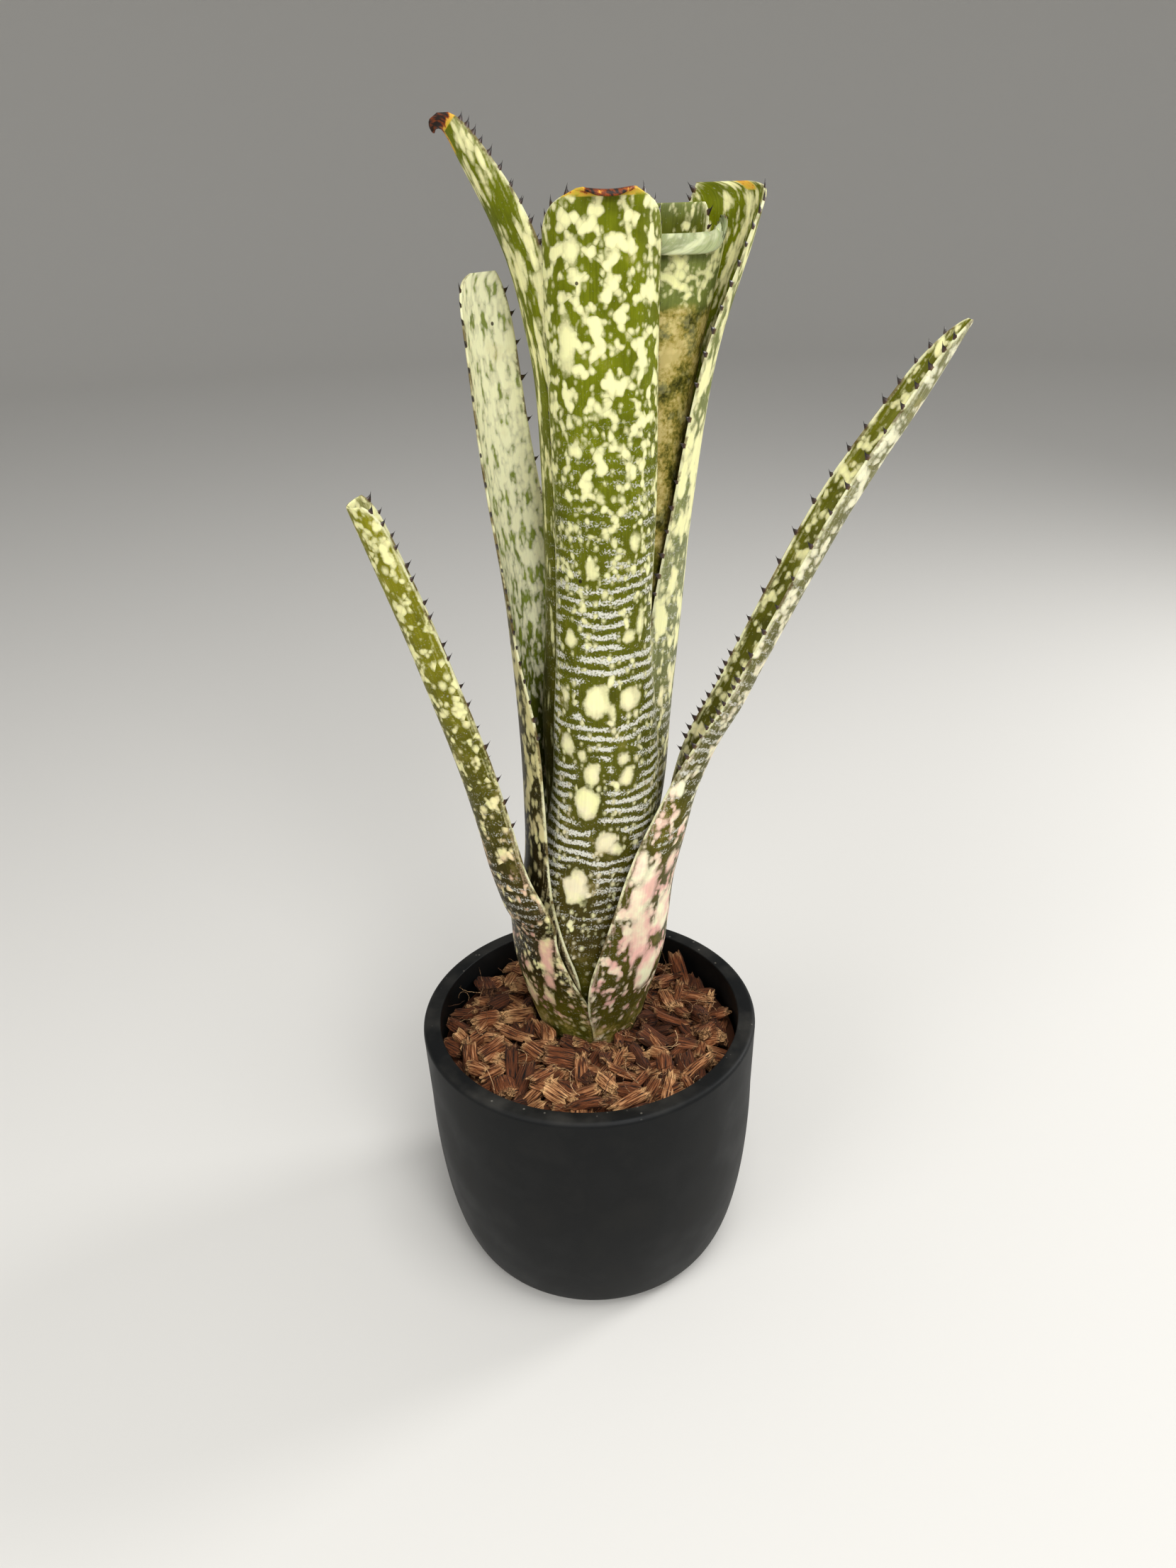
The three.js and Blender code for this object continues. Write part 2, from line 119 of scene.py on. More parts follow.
def add(tree, kind, inputs=None, out=0, **settings):
    """Adds a node with its settings and links, and gives back one of its outputs."""
    node = tree.nodes.new(kind)
    for key, value in settings.items():
        setattr(node, key, value)
    for key, value in (inputs or {}).items():
        if isinstance(value, bpy.types.NodeSocket):
            tree.links.new(value, node.inputs[key])
        else:
            node.inputs[key].default_value = value
    return node.outputs[out] if len(node.outputs) else node


def ramp(tree, source, stops):
    """A colour ramp with its stops: position, colour."""
    colour = add(tree, "ShaderNodeValToRGB", {0: source})
    band = colour.node.color_ramp
    band.elements[0].position, band.elements[0].color = stops[0]
    band.elements[1].position, band.elements[1].color = stops[-1]
    for position, value in stops[1:-1]:
        band.elements.new(position).color = value
    return colour


def blank(name):
    """A new material with an empty tree."""
    material = bpy.data.materials.new(name)
    material.use_nodes = True
    material.node_tree.nodes.clear()
    return material, material.node_tree


# Sizes and colours that a user would change


class PotSettings(bpy.types.PropertyGroup):
    radius: bpy.props.FloatProperty(
        name="Radius", description="Radius of the rim", default=0.06, unit="LENGTH")
    height: bpy.props.FloatProperty(
        name="Height", description="Height of the pot", default=0.096, unit="LENGTH")
    rim_width: bpy.props.FloatProperty(
        name="Rim width", description="Width of the flat rim", default=0.0062, unit="LENGTH")
    colour: bpy.props.FloatVectorProperty(
        name="Plastic", description="Colour of the moulded plastic", size=4, subtype="COLOR",
        default=tint("090b0c"))


class BarkSettings(bpy.types.PropertyGroup):
    spacing: bpy.props.FloatProperty(
        name="Chip spacing", description="Least distance between chips of one layer",
        default=0.0052, unit="LENGTH")
    fibres: bpy.props.IntProperty(
        name="Loose fibres", description="Number of loose fibres", default=90)
    dark: bpy.props.FloatVectorProperty(
        name="Husk", description="Colour of the chips' skin", size=4, subtype="COLOR",
        default=tint("7a421e"))
    light: bpy.props.FloatVectorProperty(
        name="Torn ends", description="Colour of the chips' torn ends", size=4, subtype="COLOR",
        default=tint("c8a06c"))


class LeafSettings(bpy.types.PropertyGroup):
    thickness: bpy.props.FloatProperty(
        name="Thickness", description="Thickness of a leaf", default=0.00085, unit="LENGTH")
    grid: bpy.props.FloatProperty(
        name="Mesh spacing", description="Distance between the rows of a leaf's mesh",
        default=0.0014, unit="LENGTH")
    spine: bpy.props.FloatProperty(
        name="Spine length", description="Length of a marginal spine", default=0.0027, unit="LENGTH")
    cream: bpy.props.FloatVectorProperty(
        name="Cream", description="Colour of the blotches", size=4, subtype="COLOR",
        default=tint("f6f2b0"))
    green: bpy.props.FloatVectorProperty(
        name="Green", description="Colour of young green tissue", size=4, subtype="COLOR",
        default=tint("68700a"))
    olive: bpy.props.FloatVectorProperty(
        name="Olive", description="Colour of old green tissue", size=4, subtype="COLOR",
        default=tint("40370f"))
    silver: bpy.props.FloatVectorProperty(
        name="Silver", description="Colour of the scurf bands", size=4, subtype="COLOR",
        default=tint("e4e2d6"))
    pink: bpy.props.FloatVectorProperty(
        name="Pink", description="Flush of the blotches low on the plant", size=4, subtype="COLOR",
        default=tint("e0ccb4"))


class StageSettings(bpy.types.PropertyGroup):
    floor: bpy.props.FloatVectorProperty(
        name="Floor", description="Colour of the floor", size=4, subtype="COLOR",
        default=tint("d9d7d2"))
    key: bpy.props.FloatProperty(
        name="Key light", description="Power of the large soft light", default=11.0, unit="POWER")


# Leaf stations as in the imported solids: midrib point on the outer face, the compass direction that
# face looks to, its lean from upright, the width along the arc and the arc's angle


def ring(z, x, y, radius, facing, spread):
    turn = math.radians(facing)
    place = (x + radius * math.cos(turn), y + radius * math.sin(turn), z)
    return (*place, facing, 0.0, radius * math.radians(spread), spread)


def blade(x, y, z, facing, lean, width, curl):
    return (x, y, z, facing, lean, width, curl)


def sheath(layer, *arcs):
    rows = []
    for i, (z, x, radius) in enumerate(TUBE):
        facing, spread = arcs[min(i, len(arcs) - 1)]
        rows.append(ring(z, x, TUBE_Y, radius - layer * SHEATH_STEP, facing, spread))
    return rows


# What each leaf looks like. tip: width left at the end, roundness and slant of the outline. roll,
# where the tip turns over: length that does, part of it that bends, angle in degrees, where across
# the leaf it is longest, how far it spreads and how square it is. spines: edge, first and last
# station position, count. levels: height, then the share that blotches and small specks cover, the
# pink flush, the scurf, the age of the green tissue and the white bloom.
# In the levels, the age column also carries painted shade on the low outer face of leaf_left_mid and
# just below the top of leaf_back's inner face.
LEAVES = {
    "leaf_right_arching": {
        "slot": "leaf_outer_pair",
        "tip": (0.3, 0.5, 0.0),
        "stations": (
            *sheath(0, (-25, 118), (-25, 122), (-25, 130), (-25, 128), (-25, 114)),
            ring(149, 3.4, 9.3, 28.2, -27, 99), ring(168, 18.8, 3, 16, -25, 140),
            ring(184, 29.2, 3.5, 9.8, -15, 180), blade(45.3, 2.5, 200, 0, 27, 26, 186),
            blade(52.7, 2, 214, 6, 29, 25, 182), blade(60.6, 2, 231, 8, 28, 24.5, 180),
            blade(81.8, 2, 273, 8, 30, 24.5, 180), blade(102.5, 2, 307, 6, 35, 20, 175),
            blade(113.7, 2, 326.5, 0, 32, 13, 170),
        ),
        "spines": ((-1, 7.5, 12.6, 26), (1, 7.5, 12.6, 26)),
        "outer": {
            "levels": (
                (80, 0.05, 0.03, 0.6, 0.1, 0.45, 0), (98, 0.12, 0.06, 1, 0.25, 0.6, 0),
                (112, 0.3, 0.08, 1, 0.3, 0.85, 0), (140, 0.5, 0.07, 1, 0.35, 0.7, 0),
                (165, 0.3, 0.1, 0.9, 0.6, 0.7, 0), (185, 0.22, 0.1, 0.6, 0.75, 0.6, 0),
                (205, 0.26, 0.1, 0.3, 0.7, 0.5, 0.04), (240, 0.36, 0.1, 0.1, 0.55, 0.35, 0.06),
                (290, 0.46, 0.1, 0, 0.4, 0.2, 0.12), (330, 0.5, 0.08, 0, 0.2, 0, 0.16),
            ),
            "blotch": (5.6, 1.5), "speck": (2.9, 1.3),
            "ground": (tint("6c6a1a"), tint("3a3210")),
            "pale": (tint("fcf8d0"), tint("f2beb0")),
            "seed": 3.1,
        },
        "inner": {
            "levels": (
                (80, 0.1, 0.05, 0.2, 0, 1, 0), (190, 0.24, 0.08, 0.3, 0, 0.7, 0),
                (230, 0.26, 0.1, 0, 0, 0.5, 0), (270, 0.32, 0.1, 0, 0, 0.3, 0),
                (330, 0.44, 0.08, 0, 0, 0, 0),
            ),
            "blotch": (4.6, 1.5), "speck": (2.6, 1.4),
            "ground": (tint("686a10"), tint("3c360c")),
            "pale": (tint("f6f2b4"), tint("e8d8b8")),
            "seed": 8.7,
        },
    },
    "leaf_left_arching": {
        "slot": "leaf_outer_pair",
        "tip": (0.75, 0.5, -0.2),
        "stations": (
            *sheath(1, (200, 160), (200, 160), (200, 144), (200, 116), (200, 94)),
            ring(144, -13.6, 2, 15.1, 206, 143), ring(158, -21.8, 2, 10.6, 204, 166),
            blade(-35.6, 1.5, 175, 198, 14, 30, 198), blade(-41.2, 0.3, 200, 194, 15, 31, 206),
            blade(-52, -2, 240, 192, 17, 29, 200), blade(-61, -4, 270, 192, 18, 26, 190),
            blade(-64.8, -5, 282.5, 192, 18, 24, 180),
        ),
        "spines": ((-1, 6.9, 10.7, 11), (1, 6.9, 10.7, 11)),
        "outer": {
            "levels": (
                (80, 0.04, 0.04, 1, 0.05, 0.4, 0), (100, 0.14, 0.08, 1, 0.3, 0.7, 0),
                (118, 0.22, 0.08, 1, 0.4, 1, 0), (135, 0.12, 0.1, 1, 0.55, 1, 0),
                (158, 0.1, 0.12, 0.8, 0.55, 0.95, 0), (185, 0.2, 0.12, 0.2, 0.35, 0.7, 0),
                (235, 0.32, 0.12, 0, 0.25, 0.2, 0), (283, 0.34, 0.1, 0, 0.1, 0, 0),
            ),
            "blotch": (4.6, 1.3), "speck": (2.6, 1.2),
            "ground": (tint("7e7c14"), tint("2e260a")),
            "pale": (tint("f8f4b0"), tint("e0b09c")),
            "seed": 5.3,
        },
        "inner": {
            "levels": (
                (80, 0.2, 0.06, 0.2, 0, 0.8, 0.1), (180, 0.34, 0.08, 0.1, 0.1, 0.3, 0.1),
                (283, 0.44, 0.1, 0, 0, 0, 0.1),
            ),
            "blotch": (4.6, 1.6), "speck": (2.6, 1.4),
            "ground": (tint("88862a"), tint("443a14")),
            "pale": (tint("f6f2b0"), tint("c8b8a0")),
            "seed": 6.1,
        },
    },
    "leaf_left_mid": {
        "slot": "leaf_pale",
        "tip": (0.42, 0.55, -0.7),
        "stations": (
            *sheath(2, (165, 200), (165, 200), (165, 200), (164, 196), (160, 184)),
            ring(155, 3.5, 10, 24, 153, 156), ring(184, 4.8, 10, 24.2, 152, 146),
            ring(210, 4.7, 10.4, 24.4, 152, 138), ring(235, 3.7, 11, 24.5, 152, 104),
            blade(-19.1, 21.1, 255, 152, 2, 37, 84), blade(-22.2, 17.5, 292, 147, 4, 28.6, 73),
            blade(-24.4, 17.2, 326, 146, 5, 25, 64), blade(-26.1, 17, 342, 146, 5, 22.6, 60),
        ),
        "spines": ((-1, 7.3, 11.5, 14), (1, 6.9, 11.6, 22)),
        "outer": {
            "levels": (
                (80, 0.08, 0.04, 0.6, 0.2, 1, 0), (110, 0.16, 0.06, 0.6, 0.25, 1, 0),
                (135, 0.2, 0.08, 0.5, 0.15, 1, 0), (170, 0.28, 0.08, 0.3, 0.1, 1, 0),
                (200, 0.36, 0.08, 0.1, 0.3, 0.8, 0), (260, 0.5, 0.1, 0, 0.3, 0.4, 0),
                (342, 0.7, 0.1, 0, 0.1, 0.1, 0.1),
            ),
            "blotch": (6.0, 2.0), "speck": (2.9, 1.5),
            # Old tissue is browner, but this nearly black old colour, at full age up to 170 mm, is
            # painted shade: the low outer face lies in shadow there.
            "ground": (tint("6a6414"), tint("241c08")),
            "pale": (tint("d8cf94"), tint("c4a88c")),
            "seed": 1.9,
        },
        "inner": {
            "levels": (
                (80, 0.2, 0.06, 0.1, 0, 1, 0), (200, 0.2, 0.08, 0, 0, 0.7, 0),
                (225, 0.5, 0.1, 0, 0, 0.2, 0), (250, 0.74, 0.1, 0, 0, 0, 0.04),
                (290, 0.86, 0.1, 0, 0, 0, 0.06), (315, 0.9, 0.1, 0, 0, 0, 0.08),
                (342, 0.82, 0.1, 0, 0, 0, 0.1),
            ),
            "blotch": (3.4, 2.4), "speck": (2.2, 2.2),
            "ground": (tint("7c8a24"), tint("3a380c")),
            "pale": (tint("fffdd2"), tint("e0d0b0")),
            "seed": 2.4,
        },
    },
    "leaf_front": {
        "slot": "leaf_tube",
        "tip": (0.1, 1.0, 0.05),
        "roll": (3.2, 2.6, 150.0, 0.05, 0.62, 2.0),
        "stations": (
            *sheath(3, (-90, 158)), ring(155, 4.5, 9.2, 20.8, -90, 156),
            ring(184, 8, 7.2, 18.4, -90, 154), ring(208, 8.6, 6.2, 17.3, -90, 152),
            ring(240, 8.9, 6, 15.4, -90, 150), ring(280, 10.3, 6, 15.9, -90, 150),
            ring(320, 10.5, 6, 16.4, -90, 150), ring(349.5, 11, 6, 16.8, -90, 150),
            ring(363.6, 11.5, 6, 17, -90, 150),
        ),
        "spines": ((-1, 8.6, 11.75, 17), (1, 8.6, 11.75, 17)),
        "outer": {
            "levels": (
                (80, 0.03, 0.02, 0.6, 0.05, 0.45, 0), (108, 0.05, 0.03, 0.6, 0.15, 0.7, 0),
                (130, 0.06, 0.04, 0.7, 0.4, 1, 0), (150, 0.06, 0.04, 0.7, 0.7, 0.95, 0),
                (165, 0.08, 0.05, 0.6, 0.95, 0.85, 0), (200, 0.08, 0.06, 0.5, 1, 0.6, 0),
                (235, 0.1, 0.08, 0.2, 0.95, 0.5, 0), (262, 0.2, 0.08, 0, 0.8, 0.42, 0),
                (285, 0.34, 0.08, 0, 0.6, 0.2, 0), (305, 0.44, 0.06, 0, 0.3, 0.05, 0),
                (320, 0.48, 0.05, 0, 0.05, 0, 0), (363, 0.46, 0.04, 0, 0, 0, 0),
            ),
            "blotch": (5.4, 1.35), "speck": (2.5, 1.3),
            "pale": (tint("f6f3b4"), tint("ecdcc4")),
            "seed": 4.0,
        },
        "inner": {
            "levels": (
                (80, 0.2, 0.05, 0, 0, 1, 0), (250, 0.3, 0.06, 0, 0, 0.4, 0),
                (363, 0.5, 0.06, 0, 0, 0, 0),
            ),
            "blotch": (5.0, 1.4), "speck": (2.5, 1.3),
            "seed": 4.0,
        },
    },
    "leaf_right_flared": {
        "slot": "leaf_tube",
        "tip": (0.45, 0.35, 1.0),
        "stations": (
            *sheath(4, (30, 160)), ring(155, 6.5, 11.5, 17.8, 26, 165),
            ring(184, 12.8, 14.7, 16.2, 28, 195), ring(208, 15, 15.9, 16, 29, 202),
            ring(240, 20.5, 19, 14, 30, 213), ring(273, 22.7, 18, 14.9, 32, 186),
            ring(317, 25.7, 18, 18.6, 34, 154), ring(347, 35.6, 16.3, 17.8, 34, 130),
            ring(363, 40.8, 15.5, 17.2, 35, 119),
        ),
        "spines": ((-1, 8.3, 11.8, 19), (1, 8.3, 11.8, 19)),
        "outer": {
            "levels": (
                (80, 0.1, 0.05, 0.3, 0.3, 1, 0), (150, 0.3, 0.08, 0.5, 0.6, 0.8, 0),
                (190, 0.18, 0.1, 0.4, 0.7, 0.85, 0), (215, 0.3, 0.1, 0.4, 0.6, 0.55, 0.06),
                (240, 0.58, 0.1, 0, 0.5, 0.25, 0.15), (300, 0.66, 0.1, 0, 0.3, 0, 0.1),
                (363, 0.6, 0.08, 0, 0, 0, 0.05),
            ),
            "blotch": (5.6, 2.2), "speck": (2.9, 1.5),
            "seed": 7.7,
        },
        "inner": {
            "levels": (
                (80, 0.1, 0.05, 0, 0, 1, 0), (240, 0.3, 0.06, 0, 0, 0.3, 0),
                (320, 0.38, 0.08, 0, 0, 0, 0), (363, 0.42, 0.08, 0, 0, 0, 0),
            ),
            "blotch": (4.0, 3.2), "speck": (2.2, 2.4),
            "seed": 9.2,
        },
    },
    "leaf_upper_left": {
        "slot": "leaf_tube",
        "tip": (0.3, 0.5, 0.0),
        "stations": (
            *sheath(5, (190, 156)), ring(155, 4.2, 11.5, 17, 190, 152),
            ring(184, 4.8, 14.6, 16.6, 190, 150), ring(208, 5.5, 15, 17.3, 188, 145),
            ring(240, 7.3, 15.2, 16.6, 187, 142), ring(280, 8.5, 15.2, 17, 186, 140),
            ring(310, 8, 15.4, 17, 186, 138), blade(-11.5, 15.6, 328, 184, 8, 38.6, 140),
            blade(-14.8, 15.4, 343, 184, 20, 35.4, 150), blade(-19.7, 14.4, 356, 184, 32, 31, 165),
            blade(-25.6, 14, 368, 184, 36, 24.6, 175), blade(-29, 13.8, 375, 184, 40, 18.6, 175),
            blade(-30.6, 13.6, 377.5, 184, 62, 14, 172), blade(-32, 13.5, 377.6, 184, 122, 9, 168),
            blade(-32.3, 13.4, 376.6, 184, 162, 5, 165),
        ),
        "spine_size": 0.88,
        "spines": ((-1, 10.9, 15.2, 14), (1, 10.9, 15.2, 14)),
        "outer": {
            "levels": (
                (80, 0.1, 0.05, 0, 0.3, 0.7, 0), (200, 0.03, 0.04, 0, 0.2, 0.9, 0),
                (250, 0.06, 0.06, 0, 0.4, 0.6, 0), (290, 0.26, 0.08, 0, 0.2, 0.25, 0),
                (320, 0.46, 0.08, 0, 0.1, 0.1, 0), (345, 0.54, 0.08, 0, 0, 0, 0),
                (366, 0.42, 0.08, 0, 0, 0, 0), (377, 0.1, 0.04, 0, 0, 0, 0),
                (382, 0, 0, 0, 0, 0, 0),
            ),
            "blotch": (4.2, 4.6), "speck": (2.3, 3.4),
            "pale": (tint("f8f4b4"), tint("e8dcc0")),
            "seed": 2.2,
        },
        "inner": {
            "levels": (
                (80, 0.2, 0.05, 0, 0, 0.8, 0), (381, 0.4, 0.08, 0, 0, 0, 0),
            ),
            "blotch": (4.2, 4.6), "speck": (2.3, 3.4),
            "seed": 2.2,
        },
    },
    "leaf_inner_right": {
        "slot": "leaf_tube",
        "tip": (0.6, 0.5, -1.0),
        "roll": (6.4, 2.6, 168.0, -0.4, 0.85, 5.0),
        "stations": (
            *sheath(6, (-45, 170)), ring(155, 4.4, 11.3, 15.1, -45, 170),
            ring(184, 8.5, 13.3, 12.6, -45, 170), ring(208, 10, 13.8, 11.8, -45, 170),
            ring(240, 13.5, 15, 12, -46, 168), ring(277, 19.5, 16, 12.5, -50, 160),
            ring(317, 26, 17.5, 13.3, -58, 146), ring(344, 31.5, 18.7, 13.9, -65, 134),
            ring(355.5, 33.5, 19, 14.2, -66, 132),
        ),
        "spine_size": 0.45,
        "spines": ((1, 10.7, 11.9, 16),),
        "outer": {
            "levels": (
                (80, 0.1, 0.05, 0, 0, 1, 0), (250, 0.15, 0.06, 0, 0, 0.7, 0),
                (320, 0.3, 0.1, 0, 0, 0.3, 0), (333, 0.46, 0.1, 0, 0.05, 0.1, 0.05),
                (355, 0.52, 0.1, 0, 0.05, 0, 0.1),
            ),
            "blotch": (4.4, 1.2), "speck": (2.4, 1.2),
            "ground": (tint("687414"), tint("3c3a10")),
            "pale": (tint("f8f6ae"), tint("e0d8b8")),
            "seed": 1.3,
        },
        "inner": {
            "levels": (
                (80, 0.1, 0.05, 0, 0, 0.8, 0), (340, 0.2, 0.06, 0, 0, 0.3, 0.1),
                (350, 0.3, 0.06, 0, 0.2, 0.1, 0.15), (356, 0.3, 0.06, 0, 0.2, 0.1, 0.2),
            ),
            "blotch": (4.4, 1.2), "speck": (2.4, 1.2),
            "ground": (tint("8a9650"), tint("3c3a10")),
            "pale": (tint("c9cf98"), tint("aab48c")),
            "seed": 1.3,
        },
    },
    "leaf_back": {
        "slot": "leaf_tube",
        "tip": (0.85, 0.5, 0.0),
        "stations": (
            *sheath(7, (115, 180)), ring(155, 4.4, 11.3, 13.5, 115, 180),
            ring(184, 8.5, 13.3, 11, 115, 180), ring(208, 10, 13.8, 10.2, 115, 180),
            ring(240, 13.5, 15, 10.4, 115, 178), ring(277, 19.5, 16, 10.9, 115, 175),
            ring(317, 26, 17.5, 11.7, 115, 172), ring(347, 31.4, 18.7, 12.2, 115, 170),
            ring(358, 33, 19, 12.4, 115, 165),
        ),
        "spines": ((-1, 9, 11.6, 9), (1, 9, 11.6, 9)),
        "outer": {
            "levels": (
                (80, 0.1, 0.05, 0, 0.3, 1, 0), (240, 0.4, 0.08, 0, 0.6, 0.4, 0),
                (358, 0.5, 0.08, 0, 0.1, 0, 0),
            ),
            "blotch": (5.0, 2.0), "speck": (2.6, 1.4),
            "seed": 3.6,
        },
        "inner": {
            "levels": (
                # Browner just below the top: the age falls from 0.5 to nothing over 13 mm, and this
                # brown is painted shade where the inner face goes down into shadow behind the leaf in
                # front.
                (80, 0.05, 0.02, 0, 0, 0.9, 0), (345, 0.05, 0.02, 0, 0, 0.5, 0),
                (353, 0.08, 0.03, 0, 0, 0.3, 0), (358, 0.1, 0.03, 0, 0, 0, 0.08),
            ),
            "blotch": (4.0, 2.5), "speck": (2.4, 1.6),
            "ground": (tint("626c16"), tint("43370f")),
            "seed": 5.9,
        },
    },
}
NO_ROLL = (1.0, 1.0, 0.0, 0.0, 1.0, 2.0)
LEVEL_NAMES = ("blotch", "speck", "pink", "scurf", "age", "bloom")
COLOUR_NAMES = ("cream", "green", "olive", "silver", "pink")


# Meshes


def catmull_rom(table, positions):
    """Rows between the stations, number by number."""
    last = len(table) - 1
    index = np.minimum(positions.astype(int), last - 1)
    t = (positions - index)[:, None]
    a, b, c, d = (table[np.clip(index + step, 0, last)] for step in (-1, 0, 1, 2))
    return b + 0.5 * t * (c - a + t * (2 * a - 5 * b + 4 * c - d + t * (3 * (b - c) + d - a)))


def row_positions(table, spacing):
    """Station positions of the rows, evenly spaced, and closer together where the tip rounds off."""
    last = len(table) - 1
    rows = []
    for i in range(last - 1):
        steps = max(2, round(np.linalg.norm(table[i + 1, :3] - table[i, :3]) / spacing))
        rows.extend(i + np.arange(steps) / steps)
    steps = max(8, round(1.3 * np.linalg.norm(table[last, :3] - table[last - 1, :3]) / spacing))
    rows.extend(last - 1 + np.sin(np.radians(90 * np.arange(steps + 1) / steps)))
    return np.array(rows)


class Blade:
    """The surface of one leaf, in millimetres: place(across, depth) for every row."""

    def __init__(self, leaf, positions):
        table = np.array(leaf["stations"], float)
        blunt, rounding, slant = leaf["tip"]
        rows = catmull_rom(table, positions)
        self.middle = rows[:, :3]
        facing, lean = np.radians(rows[:, 3]), np.radians(rows[:, 4])
        self.out = np.stack([np.cos(lean) * np.cos(facing), np.cos(lean) * np.sin(facing),
                             -np.sin(lean)], axis=1)
        self.side = np.stack([-np.sin(facing), np.cos(facing), 0 * facing], axis=1)
        self.width = rows[:, 5]
        self.half_turn = np.radians(rows[:, 6]) / 2
        self.radius = self.width / (2 * self.half_turn)
        t = np.maximum(0, positions - len(table) + 2)
        self.narrow = (1 - t * t * (1 - blunt ** (1 / rounding))) ** rounding
        self.shift = slant * (1 - self.narrow)
        fine = np.linspace(0, len(table) - 1, 500)
        steps = np.linalg.norm(np.diff(catmull_rom(table[:, :3], fine), axis=0), axis=1)
        lengths = np.concatenate([[0], np.cumsum(steps)])
        self.along, self.length = np.interp(positions, fine, lengths), lengths[-1]
        self.tip_roll = leaf.get("roll", NO_ROLL)

    def place(self, across, depth):
        """across: one number or one for each column; depth below the outer face."""
        turn = (across[None, :] * self.narrow[:, None] + self.shift[:, None]) * self.half_turn[:, None]
        radial = (np.sin(turn)[..., None] * self.side[:, None, :]
                  + np.cos(turn)[..., None] * self.out[:, None, :])
        skin = (self.middle[:, None, :] + self.radius[:, None, None] * radial
                - (self.radius[:, None] * np.ones_like(turn))[..., None] * self.out[:, None, :])
        # The tip turns over outwards, most at one place: it bends first and then runs on straight
        length, bend, angle, centre, spread, square = self.tip_roll
        ahead = np.cross(self.side, -self.out)[:, None, :]
        at = across[None, :] * self.narrow[:, None] + self.shift[:, None]
        share = np.clip(1 - (np.abs(at - centre) / spread) ** square, 0, 1)
        full = np.maximum(math.radians(angle) * np.minimum(share * 1.6, 1), 1e-4)
        turned = length * share
        beyond = np.maximum(self.along[:, None] - (self.length - turned), 0)
        arc_part = np.minimum(beyond, np.minimum(bend, turned + 1e-6))
        straight = beyond - arc_part
        bow = np.minimum(bend, turned + 1e-6) / full
        phi = arc_part / bow
        skin = skin + ((bow * np.sin(phi) + straight * np.cos(phi) - beyond)[..., None] * ahead
                       + (bow * (1 - np.cos(phi)) + straight * np.sin(phi))[..., None] * radial)
        normal = np.cos(phi)[..., None] * radial - np.sin(phi)[..., None] * ahead
        return skin - (depth * np.ones_like(turn))[..., None] * normal


def mesh_of(name, points, faces):
    mesh = bpy.data.meshes.new(name)
    mesh.from_pydata(points.tolist() if hasattr(points, "tolist") else points, [], faces)
    return mesh


def ring_faces(rings, sides, first=0, inward=False):
    """The faces between rings of points, each ring closed."""
    faces = []
    for low in range(first, first + (rings - 1) * sides, sides):
        high = low + sides
        for k in range(sides):
            j = (k + 1) % sides
            if inward:
                faces.append((low + k, high + k, high + j, low + j))
            else:
                faces.append((low + k, low + j, high + j, high + k))
    return faces


def show(name, mesh):
    piece = bpy.data.objects.new(name, mesh)
    bpy.context.scene.collection.objects.link(piece)
    return piece


def store(mesh, name, values, kind="FLOAT_VECTOR"):
    attribute = mesh.attributes.new(name, kind, "POINT")
    flat = np.ascontiguousarray(values, np.float32).ravel()
    attribute.data.foreach_set("vector" if kind == "FLOAT_VECTOR" else "value", flat)


def soften(mesh, degrees):
    """Smooth shading, with edges sharper than this angle left sharp."""
    mesh.polygons.foreach_set("use_smooth", [True] * len(mesh.polygons))
    mesh.set_sharp_from_angle(angle=math.radians(degrees))


def lathe(name, profile, segments):
    """A solid turned about Z from a profile that starts and ends on the axis, in millimetres."""
    turns = 2 * math.pi * np.arange(segments) / segments
    body = np.array(profile[1:-1], float)
    points = [(0, 0, profile[0][1])]
    for radius, z in body:
        points.extend(zip(radius * np.cos(turns), radius * np.sin(turns), np.full(segments, z)))
    points.append((0, 0, profile[-1][1]))
    faces = ring_faces(len(body), segments, 1)
    last = len(points) - 1
    top = 1 + (len(body) - 1) * segments
    for i in range(segments):
        j = (i + 1) % segments
        faces.append((0, 1 + j, 1 + i))
        faces.append((top + i, top + j, last))
    return mesh_of(name, np.array(points) * MM, faces)


def run_tree(piece, tree, values):
    """Runs a geometry tree on a piece and gives back the result as a plain mesh."""
    modifier = piece.modifiers.new("Tree", "NODES")
    modifier.node_group = tree
    for item in tree.interface.items_tree:
        if item.item_type == "SOCKET" and item.in_out == "INPUT" and item.name in values:
            modifier[item.identifier] = values[item.name]
    return applied(piece)


def applied(piece):
    """The piece's mesh with its modifiers applied; they are then removed."""
    graph = bpy.context.evaluated_depsgraph_get()
    mesh = bpy.data.meshes.new_from_object(
        piece.evaluated_get(graph), preserve_all_data_layers=True, depsgraph=graph)
    piece.modifiers.clear()
    return mesh


def cut(piece, tool):
    """The piece less the tool, which is thrown away."""
    modifier = piece.modifiers.new("Cut", "BOOLEAN")
    modifier.operation = "DIFFERENCE"
    modifier.solver = "EXACT"
    modifier.object = tool
    mesh = applied(piece)
    bpy.data.objects.remove(tool)
    piece.data = mesh
    return piece


def joined(name, meshes):
    """One mesh from several, each with its own materials."""
    whole = bmesh.new()
    materials = []
    for mesh in meshes:
        first = len(materials)
        materials.extend(mesh.materials)
        before = len(whole.faces)
        whole.from_mesh(mesh)
        whole.faces.ensure_lookup_table()
        for face in whole.faces[before:]:
            face.material_index += first
    result = bpy.data.meshes.new(name)
    whole.to_mesh(result)
    whole.free()
    for material in materials:
        result.materials.append(material)
    return result


